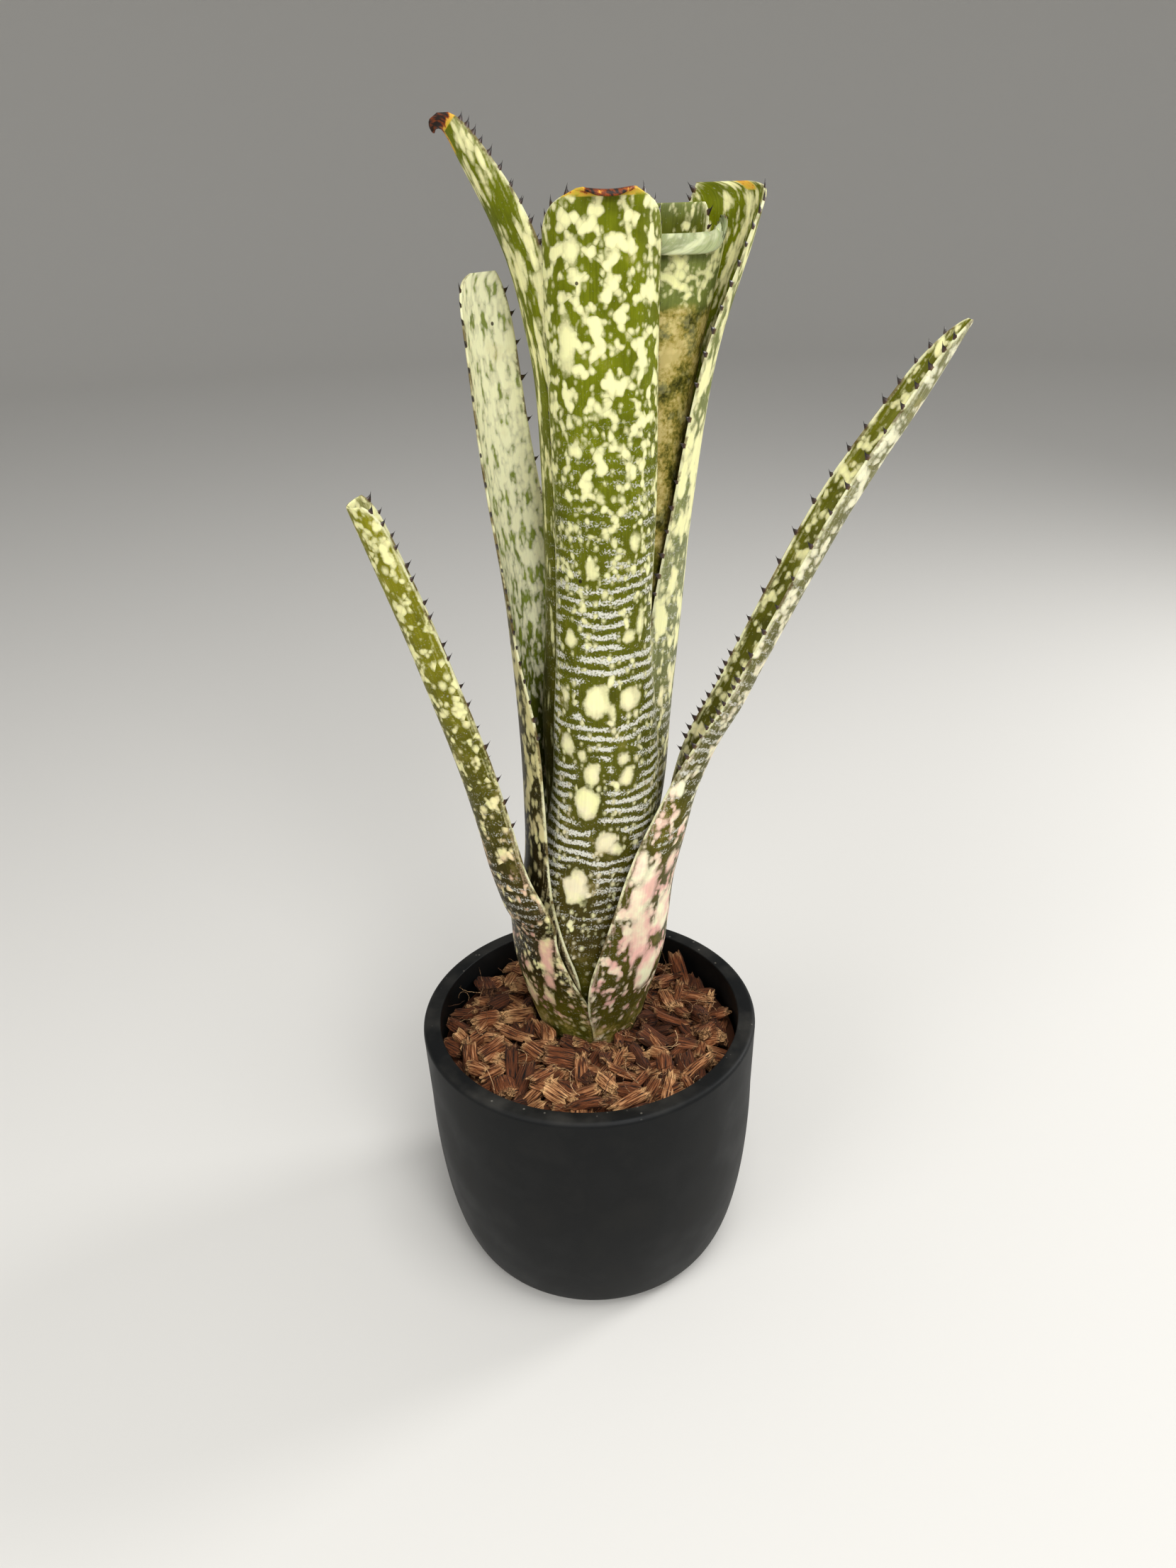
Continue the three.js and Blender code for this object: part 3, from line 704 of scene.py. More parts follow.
def group(name, sockets):
    """A geometry tree with its inputs: name, socket type, default."""
    tree = bpy.data.node_groups.new(name, "GeometryNodeTree")
    tree.interface.new_socket("Geometry", in_out="OUTPUT", socket_type="NodeSocketGeometry")
    tree.interface.new_socket("Geometry", in_out="INPUT", socket_type="NodeSocketGeometry")
    for label, kind, default in sockets:
        socket = tree.interface.new_socket(label, in_out="INPUT", socket_type=kind)
        if default is not None:
            socket.default_value = default
    source = tree.nodes.new("NodeGroupInput")
    sink = tree.nodes.new("NodeGroupOutput")
    return tree, source, sink


# Leaf skin


# Distance between bands of scurf
SCURF_PERIOD = 3.7


def leaf_skin(name, look, colours):
    """Living leaf skin: a satin cuticle over green tissue, with cream blotches that lack green,
    bands of silver scurf, and dry yellow, orange and brown tissue at the tip."""
    material, tree = blank(name)
    place = add(tree, "ShaderNodeAttribute", out="Vector", attribute_name="place")
    tone = add(tree, "ShaderNodeAttribute", out="Vector", attribute_name="tone")
    wear = add(tree, "ShaderNodeAttribute", out="Vector", attribute_name="wear")
    marks = add(tree, "ShaderNodeAttribute", out="Vector", attribute_name="marks")
    across, along, edge = add(tree, "ShaderNodeSeparateXYZ", {0: place}).node.outputs
    blotched, specked, pinkness = add(tree, "ShaderNodeSeparateXYZ", {0: tone}).node.outputs
    scurfed, age, bloom = add(tree, "ShaderNodeSeparateXYZ", {0: wear}).node.outputs
    ovals, grimed, dried = add(tree, "ShaderNodeSeparateXYZ", {0: marks}).node.outputs
    flat = add(tree, "ShaderNodeCombineXYZ", {0: across, 1: along, 2: look["seed"]})
    young, old = look.get("ground", (colours["green"], colours["olive"]))
    cream, pink = look.get("pale", (colours["cream"], colours["pink"]))

    # Blotches: round lobes that grow together where a slow noise is high
    size, stretch = look["blotch"]
    slow = add(tree, "ShaderNodeVectorMath",
               {0: flat, 1: (1 / size, 1 / (size * stretch), 1.0)}, operation="MULTIPLY")
    swell = add(tree, "ShaderNodeTexNoise", {"Vector": slow, "Scale": 1.25, "Detail": 1.0})
    above = add(tree, "ShaderNodeMath", {0: swell, 1: 0.5}, operation="SUBTRACT")
    blotch = add(tree, "ShaderNodeMath", {0: above, 1: blotched}, operation="ADD")
    blotch = add(tree, "ShaderNodeMath", {0: blotch, 1: 2.3 * size}, operation="MULTIPLY")
    ovals_field = add(tree, "ShaderNodeMath", {0: above, 1: 4.0, 2: ovals}, operation="MULTIPLY_ADD")

    # Islands round random points, in millimetres inside their edge: the lobes, the small specks, and
    # streaks near the margins. For each: cell width, stretch along the leaf, reach, least and most
    # luck of an island, and a shift that keeps the three apart
    rag = add(tree, "ShaderNodeTexNoise", {"Vector": flat, "Scale": 1.1, "Detail": 3.0})
    beside = add(tree, "ShaderNodeMapRange", {0: edge, 1: 0.5, 2: 4.5, 3: 0.3, 4: -0.5})
    fields = []
    for cell, drawn, reach, least, most, shift in (
            (0.45 * size, stretch ** 0.5, 0.42, 0.6, 1.35, 0.0),
            (*look["speck"], specked, -3.6, 2.7, 31.0),
            (1.0, 14.0, beside, 0.7, 1.4, 57.0)):
        scaled = add(tree, "ShaderNodeVectorMath",
                     {0: flat, 1: (1 / cell, 1 / (cell * drawn), 1.0),
                      2: (shift + 7 * look["seed"], shift, 0)}, operation="MULTIPLY_ADD")
        cells = add(tree, "ShaderNodeTexVoronoi", {"Vector": scaled, "Scale": 1.0},
                    out="Distance", voronoi_dimensions="2D").node
        luck = add(tree, "ShaderNodeSeparateColor", {0: cells.outputs["Color"]})
        luck = add(tree, "ShaderNodeMapRange", {0: luck, 3: least, 4: most})
        gap = add(tree, "ShaderNodeMath", {0: luck, 1: reach}, operation="MULTIPLY")
        gap = add(tree, "ShaderNodeMath", {0: gap, 1: cells.outputs["Distance"]}, operation="SUBTRACT")
        fields.append(add(tree, "ShaderNodeMath", {0: gap, 1: cell}, operation="MULTIPLY"))
    field = add(tree, "ShaderNodeMath", {0: blotch, 1: fields[0]}, operation="ADD")
    for other in (fields[1], fields[2], ovals_field):
        field = add(tree, "ShaderNodeMath", {0: field, 1: other}, operation="MAXIMUM")
    field = add(tree, "ShaderNodeMath", {0: rag, 1: 1.0, 2: field}, operation="MULTIPLY_ADD")
    field = add(tree, "ShaderNodeMath", {0: field, 1: 0.5}, operation="SUBTRACT")
    pale = add(tree, "ShaderNodeMapRange", {0: field, 1: -0.45, 2: 0.4})
    core = add(tree, "ShaderNodeMapRange", {0: field, 1: 0.0, 2: 1.6})

    # Green tissue, older and browner downwards, with faint streaks along the veins; on some faces the
    # older colour is painted shade
    veins = add(tree, "ShaderNodeVectorMath", {0: flat, 1: (1.9, 0.06, 1.0)}, operation="MULTIPLY")
    streak = add(tree, "ShaderNodeTexNoise", {"Vector": veins, "Scale": 1.0, "Detail": 3.0})
    cloud = add(tree, "ShaderNodeTexNoise", {"Vector": flat, "Scale": 0.13, "Detail": 3.0})
    green = add(tree, "ShaderNodeMix", {"Factor": age, 6: young, 7: old}, out=2, data_type="RGBA")
    shade = add(tree, "ShaderNodeMapRange", {0: streak, 1: 0.25, 2: 0.75, 3: 0.78, 4: 1.2})
    mottle = add(tree, "ShaderNodeMapRange", {0: cloud, 1: 0.3, 2: 0.7, 3: 0.72, 4: 1.28})
    shade = add(tree, "ShaderNodeMath", {0: shade, 1: mottle}, operation="MULTIPLY")
    green = add(tree, "ShaderNodeVectorMath", {0: green, "Scale": shade}, operation="SCALE")
    flush = add(tree, "ShaderNodeMapRange", {0: cloud, 1: 0.35, 2: 0.6})
    flush = add(tree, "ShaderNodeMath", {0: flush, 1: pinkness}, operation="MULTIPLY")
    island = add(tree, "ShaderNodeMix", {"Factor": flush, 6: cream, 7: pink}, out=2, data_type="RGBA")
    bright = add(tree, "ShaderNodeMapRange", {0: core, 3: 0.62, 4: 1.0})
    soft = add(tree, "ShaderNodeMapRange", {0: streak, 1: 0.2, 2: 0.8, 3: 0.92, 4: 1.05})
    bright = add(tree, "ShaderNodeMath", {0: bright, 1: soft}, operation="MULTIPLY")
    island = add(tree, "ShaderNodeVectorMath", {0: island, "Scale": bright}, operation="SCALE")

    # Bloom: a thin white wax that veils the colours
    veil = add(tree, "ShaderNodeMapRange", {0: streak, 1: 0.25, 2: 0.7, 3: 0.6, 4: 1.0})
    veil = add(tree, "ShaderNodeMath", {0: veil, 1: bloom}, operation="MULTIPLY")

    # Scurf: white grains in cross bands, thin or missing in patches and round the largest ovals.
    # The real grains are 0.2 mm across; they are drawn at about 0.7 mm
    sway = add(tree, "ShaderNodeTexNoise", {"Vector": flat, "Scale": 0.07, "Detail": 3.0})
    sway = add(tree, "ShaderNodeMath", {0: sway, 1: 7.0, 2: along}, operation="MULTIPLY_ADD")
    wave = add(tree, "ShaderNodeMath", {0: sway, 1: 2 * math.pi / SCURF_PERIOD}, operation="MULTIPLY")
    wave = add(tree, "ShaderNodeMath", {0: wave}, operation="SINE")
    band = add(tree, "ShaderNodeMapRange", {0: wave, 1: -0.95, 2: 0.7})
    patch = add(tree, "ShaderNodeTexNoise", {"Vector": flat, "Scale": 0.075, "Detail": 2.0})
    patch = add(tree, "ShaderNodeMapRange", {0: patch, 1: 0.36, 2: 0.54, 3: 0.6, 4: 1.0})
    halo = add(tree, "ShaderNodeMapRange", {0: ovals, 1: -3.0, 2: -1.0, 3: 1.0, 4: 0.0})
    bare = add(tree, "ShaderNodeMapRange", {0: pale, 3: 1.0, 4: 0.35})
    cover = add(tree, "ShaderNodeMath", {0: band, 1: patch}, operation="MULTIPLY")
    for share in (scurfed, halo, bare):
        cover = add(tree, "ShaderNodeMath", {0: cover, 1: share}, operation="MULTIPLY")
    grains = add(tree, "ShaderNodeTexNoise", {"Vector": flat, "Scale": 1.5, "Detail": 3.0})
    grains = add(tree, "ShaderNodeMath", {0: grains, 1: 1.9, 2: -0.45}, operation="MULTIPLY_ADD")
    level = add(tree, "ShaderNodeMath", {0: cover, 1: 0.72, 2: -0.9}, operation="MULTIPLY_ADD")
    level = add(tree, "ShaderNodeMath", {0: level, 1: grains}, operation="ADD")
    scurf = add(tree, "ShaderNodeMapRange", {0: level, 1: -0.12, 2: 0.24, 4: 0.85})
    thick = add(tree, "ShaderNodeMapRange", {0: scurfed, 1: 0.2, 2: 0.85, 3: 0.35, 4: 1.0})
    scurf = add(tree, "ShaderNodeMath", {0: scurf, 1: thick}, operation="MULTIPLY")

    # Margin: a broken pale line along the very edge, brown where it is worn
    rim = add(tree, "ShaderNodeMath", {0: rag, 1: 1.4, 2: edge}, operation="MULTIPLY_ADD")
    rim = add(tree, "ShaderNodeMapRange", {0: rim, 1: 1.6, 2: 1.1, 4: 0.8})
    worn = ramp(tree, cloud, ((0.42, tint("5a4a26")), (0.5, tint("d8d6a8")), (0.6, tint("e6e4bc"))))
    burnt = add(tree, "ShaderNodeMath", {0: rag, 1: 1.1, 2: dried}, operation="MULTIPLY_ADD")
    burnt = add(tree, "ShaderNodeMath", {0: burnt, 1: 0.55}, operation="SUBTRACT")
    dry = ramp(tree, burnt, ((0.05, tint("c9b43c")), (0.35, tint("dca640")), (0.55, tint("8e4420")),
                             (0.8, tint("2e2622"))))
    dry_share = add(tree, "ShaderNodeMapRange", {0: dried, 1: 0.02, 2: 0.15})

    # Dirt, moss and old tissue where the table marks them, and a few punctures half a millimetre wide
    grime = add(tree, "ShaderNodeMath", {0: cloud, 1: 0.8, 2: grimed}, operation="MULTIPLY_ADD")
    grime = add(tree, "ShaderNodeMapRange", {0: grime, 1: 0.5, 2: 0.95, 4: 0.85})
    moss = add(tree, "ShaderNodeMath", {0: rag, 1: 0.5, 2: cloud}, operation="MULTIPLY_ADD")
    soil = ramp(tree, moss, ((0.58, tint("33300f")), (0.7, tint("6e6628")), (0.8, tint("a39148")),
                             (0.92, tint("c8b474"))))
    pits = add(tree, "ShaderNodeTexVoronoi", {"Vector": flat, "Scale": 0.055}, out="Distance")
    pits = add(tree, "ShaderNodeMapRange", {0: pits, 1: 0.036, 2: 0.026, 4: 0.9})

    # The layers, the lowest first
    skin = green
    for share, colour in ((pale, island), (veil, tint("f0f2e2")), (scurf, colours["silver"]),
                          (rim, worn), (dry_share, dry), (grime, soil), (pits, tint("241a14"))):
        skin = add(tree, "ShaderNodeMix", {"Factor": share, 6: skin, 7: colour}, out=2,
                   data_type="RGBA")

    rough = add(tree, "ShaderNodeMapRange", {0: scurf, 3: 0.42, 4: 0.85})
    height = add(tree, "ShaderNodeMath", {0: streak, 1: 0.6, 2: scurf}, operation="MULTIPLY_ADD")
    bump = add(tree, "ShaderNodeBump", {"Strength": 0.35, "Distance": 0.0002, "Height": height})
    surface = add(tree, "ShaderNodeBsdfPrincipled", {
        "Base Color": skin, "Roughness": rough, "Normal": bump, "IOR": 1.45,
        "Specular IOR Level": 0.12, "Subsurface Weight": 0.06, "Subsurface Scale": 0.002})
    add(tree, "ShaderNodeOutputMaterial", {0: surface})
    return material


def spine_horn():
    """Horn of a marginal spine: dark brown at its root, black and shiny at its point."""
    material, tree = blank("Dark horn, grown")
    reach = add(tree, "ShaderNodeAttribute", out="Fac", attribute_name="reach")
    colour = ramp(tree, reach, ((0.0, tint("6b5526")), (0.25, tint("3a2318")), (0.6, tint("17100d"))))
    surface = add(tree, "ShaderNodeBsdfPrincipled", {
        "Base Color": colour, "Roughness": 0.4, "IOR": 1.54})
    add(tree, "ShaderNodeOutputMaterial", {0: surface})
    return material


def spine_mesh():
    """One hooked spine, 1 long, its root at the origin, pointing to +X and bending to +Y."""
    rings, sides = 5, 6
    points, reach = [], []
    for i in range(rings):
        t = i / rings
        middle = Vector((t - 0.22, 0.42 * t * t, 0))
        wide, thick = 0.5 * (1 - t) ** 1.4, 0.14 * (1 - t) + 0.02
        for k in range(sides):
            turn = 2 * math.pi * k / sides
            points.append(middle + Vector((0, wide * math.cos(turn), thick * math.sin(turn))))
            reach.append(t)
    points.extend([Vector((0.9, 0.5, 0)), Vector((-0.22, 0, 0))])
    reach.extend([1.0, 0.0])
    tip, root = rings * sides, rings * sides + 1
    faces = ring_faces(rings, sides)
    for k in range(sides):
        j = (k + 1) % sides
        faces.append(((rings - 1) * sides + k, (rings - 1) * sides + j, tip))
        faces.append((j, k, root))
    mesh = mesh_of("spine", [tuple(p) for p in points], faces)
    store(mesh, "reach", reach, "FLOAT")
    soften(mesh, 60)
    return mesh


def spine_tree():
    """Sets a spine on every point, turned by its aim and sized by its size."""
    tree, source, sink = group("Marginal spines", (
        ("Spine", "NodeSocketObject", None), ("Length", "NodeSocketFloat", 0.0025),
        ("Material", "NodeSocketMaterial", None)))
    spine = add(tree, "GeometryNodeObjectInfo", {"Object": source.outputs["Spine"]}, out="Geometry")
    aim = add(tree, "GeometryNodeInputNamedAttribute", {"Name": "aim"}, data_type="FLOAT_VECTOR")
    aim = add(tree, "FunctionNodeEulerToRotation", {0: aim})
    size = add(tree, "GeometryNodeInputNamedAttribute", {"Name": "size"}, data_type="FLOAT")
    size = add(tree, "ShaderNodeMath", {0: size, 1: source.outputs["Length"]}, operation="MULTIPLY")
    points = add(tree, "GeometryNodeMeshToPoints", {0: source.outputs["Geometry"]})
    placed = add(tree, "GeometryNodeInstanceOnPoints",
                 {"Points": points, "Instance": spine, "Rotation": aim, "Scale": size})
    real = add(tree, "GeometryNodeRealizeInstances", {0: placed})
    done = add(tree, "GeometryNodeSetMaterial", {0: real, "Material": source.outputs["Material"]})
    tree.links.new(done, sink.inputs[0])
    return tree


def blotch_level(share):
    """How far the slow noise is raised so that about this share of it comes out above its middle."""
    share = np.clip(share, 0.001, 0.999)
    return 0.62 * (share ** 0.14 - (1 - share) ** 0.14)


def island_reach(share):
    """The reach of islands round random points, one to a unit square, that cover this share."""
    return np.sqrt(-np.log(1 - np.clip(share, 0, 0.97)) / math.pi)


def leaf_marks(name, face, across, height, from_end, share_across):
    """Fields of the single marks of a leaf: pale ovals, dirt and dry tip."""
    ovals = np.full(across.shape, -8.0)
    grime = np.zeros(across.shape)
    dry = np.zeros(across.shape)
    for z, x, length, width in OVALS.get(name, ()) if face == "outer" else ():
        field = 1 - np.hypot((height - z) / (length / 2), (across - x) / (width / 2))
        ovals = np.maximum(ovals, field * min(length, width) / 2)
    for leaf, side, low, high, left, right, strength in GRIME:
        if leaf == name and side in (face, "both"):
            inside = np.minimum.reduce([(height - low) / 5, (high - height) / 5,
                                        (across - left) / 3, (right - across) / 3])
            grime = np.maximum(grime, strength * np.clip(inside, 0, 1))
    for leaf, side, length, left, right, strength in DRY_TIPS:
        if leaf == name and side in (face, "both"):
            inside = np.minimum.reduce([1 - from_end / length, (share_across - left) / 0.2,
                                        (right - share_across) / 0.2])
            dry = np.maximum(dry, strength * np.clip(inside * 3, 0, 1))
    return np.stack([ovals, grime, dry], axis=-1)


# Single pale ovals on the outer faces: height, across from the midrib, length, width
OVALS = {
    "leaf_front": (
        (325, -10.8, 17, 5.8), (348, -8.8, 7, 5.8), (263, -4.1, 6, 3.9), (270, 8.9, 6, 4.0),
        (240, -11.4, 7, 4.2), (245, 12.0, 8, 3.9), (241, 8.1, 4, 3.7), (221, -2.9, 11, 8.2),
        (221, 7.9, 7, 8.2), (221, -13.7, 6, 2.5), (218, 2.2, 4, 1.8), (202, 5.5, 5, 4.7),
        (195, 6.4, 6, 4.8), (205, -13.9, 7, 5.4), (202, -7.8, 4, 2.4), (196, -4.7, 8, 5.6),
        (186, -6.6, 12, 8.6), (172, 0.9, 8, 6.3), (155, -7.6, 12, 8.5), (150, -8.7, 5, 4.1),
        (148, -3.9, 3, 1.9), (169, 4.4, 5, 7.2), (283, 4.2, 3, 2.5), (284, -1.4, 4, 3.3),
        (287, -5.6, 4, 3.8),
    ),
    "leaf_right_arching": (
        (154, -13.1, 18, 8.2), (139, -1.7, 19, 12.7), (136, -14.2, 23, 10.1), (118, -8.5, 18, 11.9),
        (161, -5.0, 10, 4.3), (160, -9.4, 5, 2.9), (125, -16.8, 14, 3.2), (163, -17.4, 12, 5.8),
        (149, -16.2, 17, 8.0), (179, -8.9, 4, 3.1), (177, -12.4, 3, 2.4),
    ),
    "leaf_left_arching": (
        (128, 18.3, 20, 6.1), (105, 5.2, 12, 5.9), (108, 15.5, 10, 3.3), (119, 8.7, 6, 3.9),
        (117, 17.9, 13, 3.7), (158, 15.4, 3, 2.4), (164, 8.5, 4, 2.5), (160, 10.1, 2, 2.0),
    ),
}

# Dirt and old tissue: leaf, face, lowest, highest, left and right across, strength
GRIME = (
    ("leaf_inner_right", "outer", 262, 334, -30, 30, 0.75),
    ("leaf_inner_right", "outer", 200, 272, -30, 30, 0.36),
    ("leaf_left_mid", "outer", 95, 140, -22, -4, 0.28),
    ("leaf_front", "outer", 80, 112, -40, 40, 0.35),
    ("leaf_left_arching", "outer", 80, 100, -40, 40, 0.4),
    ("leaf_right_arching", "outer", 80, 98, -40, 40, 0.35),
)

# Dry tips: leaf, face, length, from and to across the leaf, strength
DRY_TIPS = (
    ("leaf_front", "both", 3.2, -0.75, 0.8, 0.16),
    ("leaf_front", "both", 2.6, -0.3, 0.35, 0.7),
    ("leaf_front", "both", 3.2, -0.7, -0.4, 0.4),
    ("leaf_upper_left", "both", 3.6, -1.2, 1.2, 0.8),
    ("leaf_upper_left", "outer", 10.0, -0.6, 0.25, 0.4),
    ("leaf_right_flared", "inner", 2.4, -0.45, -0.15, 0.34),
)


def make_leaf(name, leaf, settings, spines):
    """One leaf: two skins, rolled margins, and its spines."""
    thickness = settings.thickness / MM
    spacing = settings.grid / MM
    table = np.array(leaf["stations"], float)
    positions = row_positions(table, spacing)
    surface = Blade(leaf, positions)
    columns = 2 * round(table[:, 5].max() / spacing / 2)
    across = np.sin(np.radians(np.linspace(-90, 90, columns + 1)))
    across = 0.5 * across + 0.5 * np.linspace(-1, 1, columns + 1)
    rows = len(positions)

    # The blade keeps its thickness in the middle and rolls to a thin edge in its last millimetre
    share = across[None, :] * surface.narrow[:, None]
    arc = share * surface.width[:, None] / 2
    half = surface.narrow[:, None] * surface.width[:, None] / 2
    edge = np.maximum(half - np.abs(arc), 0)
    from_end = np.broadcast_to((surface.length - surface.along)[:, None], arc.shape)
    near = np.clip(np.minimum(edge, from_end) / 0.9, 0, 1)
    roll = 1 - np.sqrt(np.clip(1 - (1 - near) ** 2, 0, 1))
    middle = thickness / 2
    outer = surface.place(across, middle * roll * 0.75)
    inner = surface.place(across, thickness - middle * roll * 0.75)
    points = np.concatenate([outer.reshape(-1, 3), inner.reshape(-1, 3)]) * MM

    count = columns + 1
    faces, skins = [], []
    grid = np.arange(rows * count).reshape(rows, count)
    back = grid + rows * count
    for skin, corners in enumerate((
            (grid[:-1, :-1], grid[:-1, 1:], grid[1:, 1:], grid[1:, :-1]),
            (back[:-1, :-1], back[1:, :-1], back[1:, 1:], back[:-1, 1:]))):
        quads = np.stack(corners, axis=-1).reshape(-1, 4).tolist()
        faces.extend(quads)
        skins.extend([skin] * len(quads))
    for front, behind in ((grid[::-1, 0], back[::-1, 0]), (grid[:, -1], back[:, -1]),
                          (grid[0, :], back[0, :]), (grid[-1, ::-1], back[-1, ::-1])):
        for a, b, c, d in zip(front[:-1], behind[:-1], behind[1:], front[1:]):
            faces.append((int(a), int(b), int(c), int(d)))
            skins.append(0)
    mesh = mesh_of(name, points, faces)
    mesh.polygons.foreach_set("material_index", skins)

    height = np.broadcast_to(surface.middle[:, 2:3], arc.shape)
    along = np.broadcast_to(surface.along[:, None], arc.shape)
    place = np.stack([arc, along, edge], axis=-1)
    store(mesh, "place", np.concatenate([place.reshape(-1, 3)] * 2))
    fields = {"tone": [], "wear": [], "marks": []}
    for face in ("outer", "inner"):
        levels = np.array(leaf[face]["levels"], float)
        value = [np.interp(height, levels[:, 0], levels[:, 1 + i]) for i in range(len(LEVEL_NAMES))]
        value[0] = blotch_level(value[0])
        value[1] = island_reach(value[1])
        fields["tone"].append(np.stack(value[:3], axis=-1).reshape(-1, 3))
        fields["wear"].append(np.stack(value[3:], axis=-1).reshape(-1, 3))
        fields["marks"].append(
            leaf_marks(name, face, arc, height, from_end, share).reshape(-1, 3))
    for label, values in fields.items():
        store(mesh, label, np.concatenate(values))
    colours = {key: tuple(getattr(settings, key)) for key in COLOUR_NAMES}
    for face in ("outer", "inner"):
        mesh.materials.append(leaf_skin(f"Leaf skin, {name[5:].replace('_', ' ')}, {face} face",
                                        leaf[face], colours))
    soften(mesh, 50)
    thorns = make_spines(name, leaf, settings, spines)
    piece = show(name + "_dressed", joined(name, [mesh, thorns]))
    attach(piece, "root")
    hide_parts(name)
    return piece


def make_spines(name, leaf, settings, spines):
    """The spines of one leaf, set along its margins by the tree."""
    rng = np.random.default_rng(sum(map(ord, name)))
    points, aims, sizes = [], [], []
    middle = np.array([settings.thickness / MM / 2])
    for edge, start, end, count in leaf["spines"]:
        rows = np.linspace(start, end, count) + rng.uniform(-0.02, 0.02, count)
        for position in rows:
            near = Blade(leaf, np.array([position, position + 0.03]))
            rim = near.place(np.array([float(edge)]), middle)[:, 0]
            inside = near.place(np.array([0.8 * edge]), middle)[0, 0]
            skin = near.place(np.array([float(edge)]), np.array([0.0]))[0, 0]
            along = Vector(rim[1] - rim[0]).normalized()
            out = Vector(skin - rim[0]).normalized()
            away = along.cross(out).normalized()
            if away.dot(Vector(rim[0] - inside)) < 0:
                away.negate()
            out = away.cross(along)
            turned = Matrix((away, along, out)).transposed()
            points.append(tuple(rim[0] * MM))
            aims.append(tuple(turned.to_euler()))
            sizes.append(rng.uniform(0.75, 1.1) * leaf.get("spine_size", 1.0))
    seats = show("spine_seats", mesh_of("spine_seats", points, []))
    store(seats.data, "aim", aims)
    store(seats.data, "size", sizes, "FLOAT")
    thorn, tree, horn = spines
    mesh = run_tree(seats, tree, {"Spine": thorn, "Length": settings.spine, "Material": horn})
    bpy.data.objects.remove(seats)
    return mesh


# Pot


def pot_plastic(colour):
    """Black polypropylene, injection moulded: an even, finely matt skin with dust on the rim."""
    material, tree = blank("Polypropylene, moulded, matt black")
    place = add(tree, "ShaderNodeTexCoord", out="Object")
    mm = add(tree, "ShaderNodeVectorMath", {0: place, "Scale": 1000.0}, operation="SCALE")
    grain = add(tree, "ShaderNodeTexNoise", {"Vector": mm, "Scale": 2.2, "Detail": 2.0})
    cloud = add(tree, "ShaderNodeTexNoise", {"Vector": mm, "Scale": 0.06, "Detail": 4.0})
    normal = add(tree, "ShaderNodeNewGeometry", out="Normal")
    upward = add(tree, "ShaderNodeSeparateXYZ", {0: normal}, out=2)
    shelf = add(tree, "ShaderNodeMapRange", {0: upward, 1: 0.5, 2: 0.95})
    lint = add(tree, "ShaderNodeTexVoronoi", {"Vector": mm, "Scale": 0.28}, out="Distance")
    lint = add(tree, "ShaderNodeMapRange", {0: lint, 1: 0.13, 2: 0.08})
    film = add(tree, "ShaderNodeMapRange", {0: cloud, 1: 0.4, 2: 0.75, 4: 0.1})
    dust = add(tree, "ShaderNodeMath", {0: lint, 1: 0.35, 2: film}, operation="MULTIPLY_ADD")
    dust = add(tree, "ShaderNodeMath", {0: dust, 1: shelf}, operation="MULTIPLY")
    side_film = add(tree, "ShaderNodeMapRange", {0: cloud, 1: 0.5, 2: 0.8, 4: 0.03})
    dust = add(tree, "ShaderNodeMath", {0: dust, 1: side_film}, operation="ADD")
    skin = add(tree, "ShaderNodeMix", {"Factor": dust, 6: colour, 7: tint("8f8a80")}, out=2,
               data_type="RGBA")
    rough = add(tree, "ShaderNodeMapRange", {0: cloud, 1: 0.3, 2: 0.7, 3: 0.48, 4: 0.62})
    bump = add(tree, "ShaderNodeBump", {"Strength": 0.12, "Distance": 0.0002, "Height": grain})
    surface = add(tree, "ShaderNodeBsdfPrincipled", {
        "Base Color": skin, "Roughness": rough, "Normal": bump, "IOR": 1.49, "Specular IOR Level": 0.2})
    add(tree, "ShaderNodeOutputMaterial", {0: surface})
    return material


def arc(x, z, radius, start, end, steps):
    """Profile points on a quarter round, angles in degrees from the +X side."""
    turns = np.radians(np.linspace(start, end, steps + 1))
    return [(x + radius * math.cos(t), z + radius * math.sin(t)) for t in turns]


def pot_side(radius, height, inset, steps):
    """Straight upper side, then a quarter ellipse in to the flat foot."""
    shoulder, taper, foot_inset = height - 27, 0.8, 13.7
    points = []
    for i in range(steps + 1):
        turn = math.radians(90 * i / steps)
        points.append((radius - taper - foot_inset * (1 - math.sin(turn)) - inset,
                       shoulder * (1 - math.cos(turn))))
    return points


def make_pot(settings):
    radius, height, rim = settings.radius / MM, settings.height / MM, settings.rim_width / MM
    rim_depth, rounding, crease = 9.0, 1.8, 0.5
    inside = [p for p in pot_side(radius, height, POT_WALL, 26) if p[1] > POT_FLOOR][::-1]
    throat = radius - rim
    profile = [
        (0, 0),
        *[(r, z) for r, z in pot_side(radius, height, 0, 28)],
        *arc(radius - rounding, height - rounding, rounding, 0, 90, 7),
        *arc(throat + crease, height - crease, crease, 90, 180, 3),
        (throat, height - rim_depth),
        *inside,
        (inside[-1][0] - FOOT_CORNER, POT_FLOOR),
        (0, POT_FLOOR),
    ]
    piece = show("pot_moulded", lathe("pot_moulded", profile, 160))
    holes, drains, drain_radius, drain_ring = [], 5, 3.5, 0.028
    for i in range(drains):
        turn = 2 * math.pi * i / drains
        hole = lathe("drain", [(0, -5), (drain_radius, -5), (drain_radius, 10), (0, 10)], 24)
        spot = (drain_ring * math.cos(turn), drain_ring * math.sin(turn), 0)
        hole.transform(Matrix.Translation(spot))
        holes.append(hole)
    piece = cut(piece, show("drains", joined("drains", holes)))
    piece.data.materials.clear()
    piece.data.materials.append(pot_plastic(tuple(settings.colour)))
    soften(piece.data, 38)
    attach(piece, "root")
    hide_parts("pot")


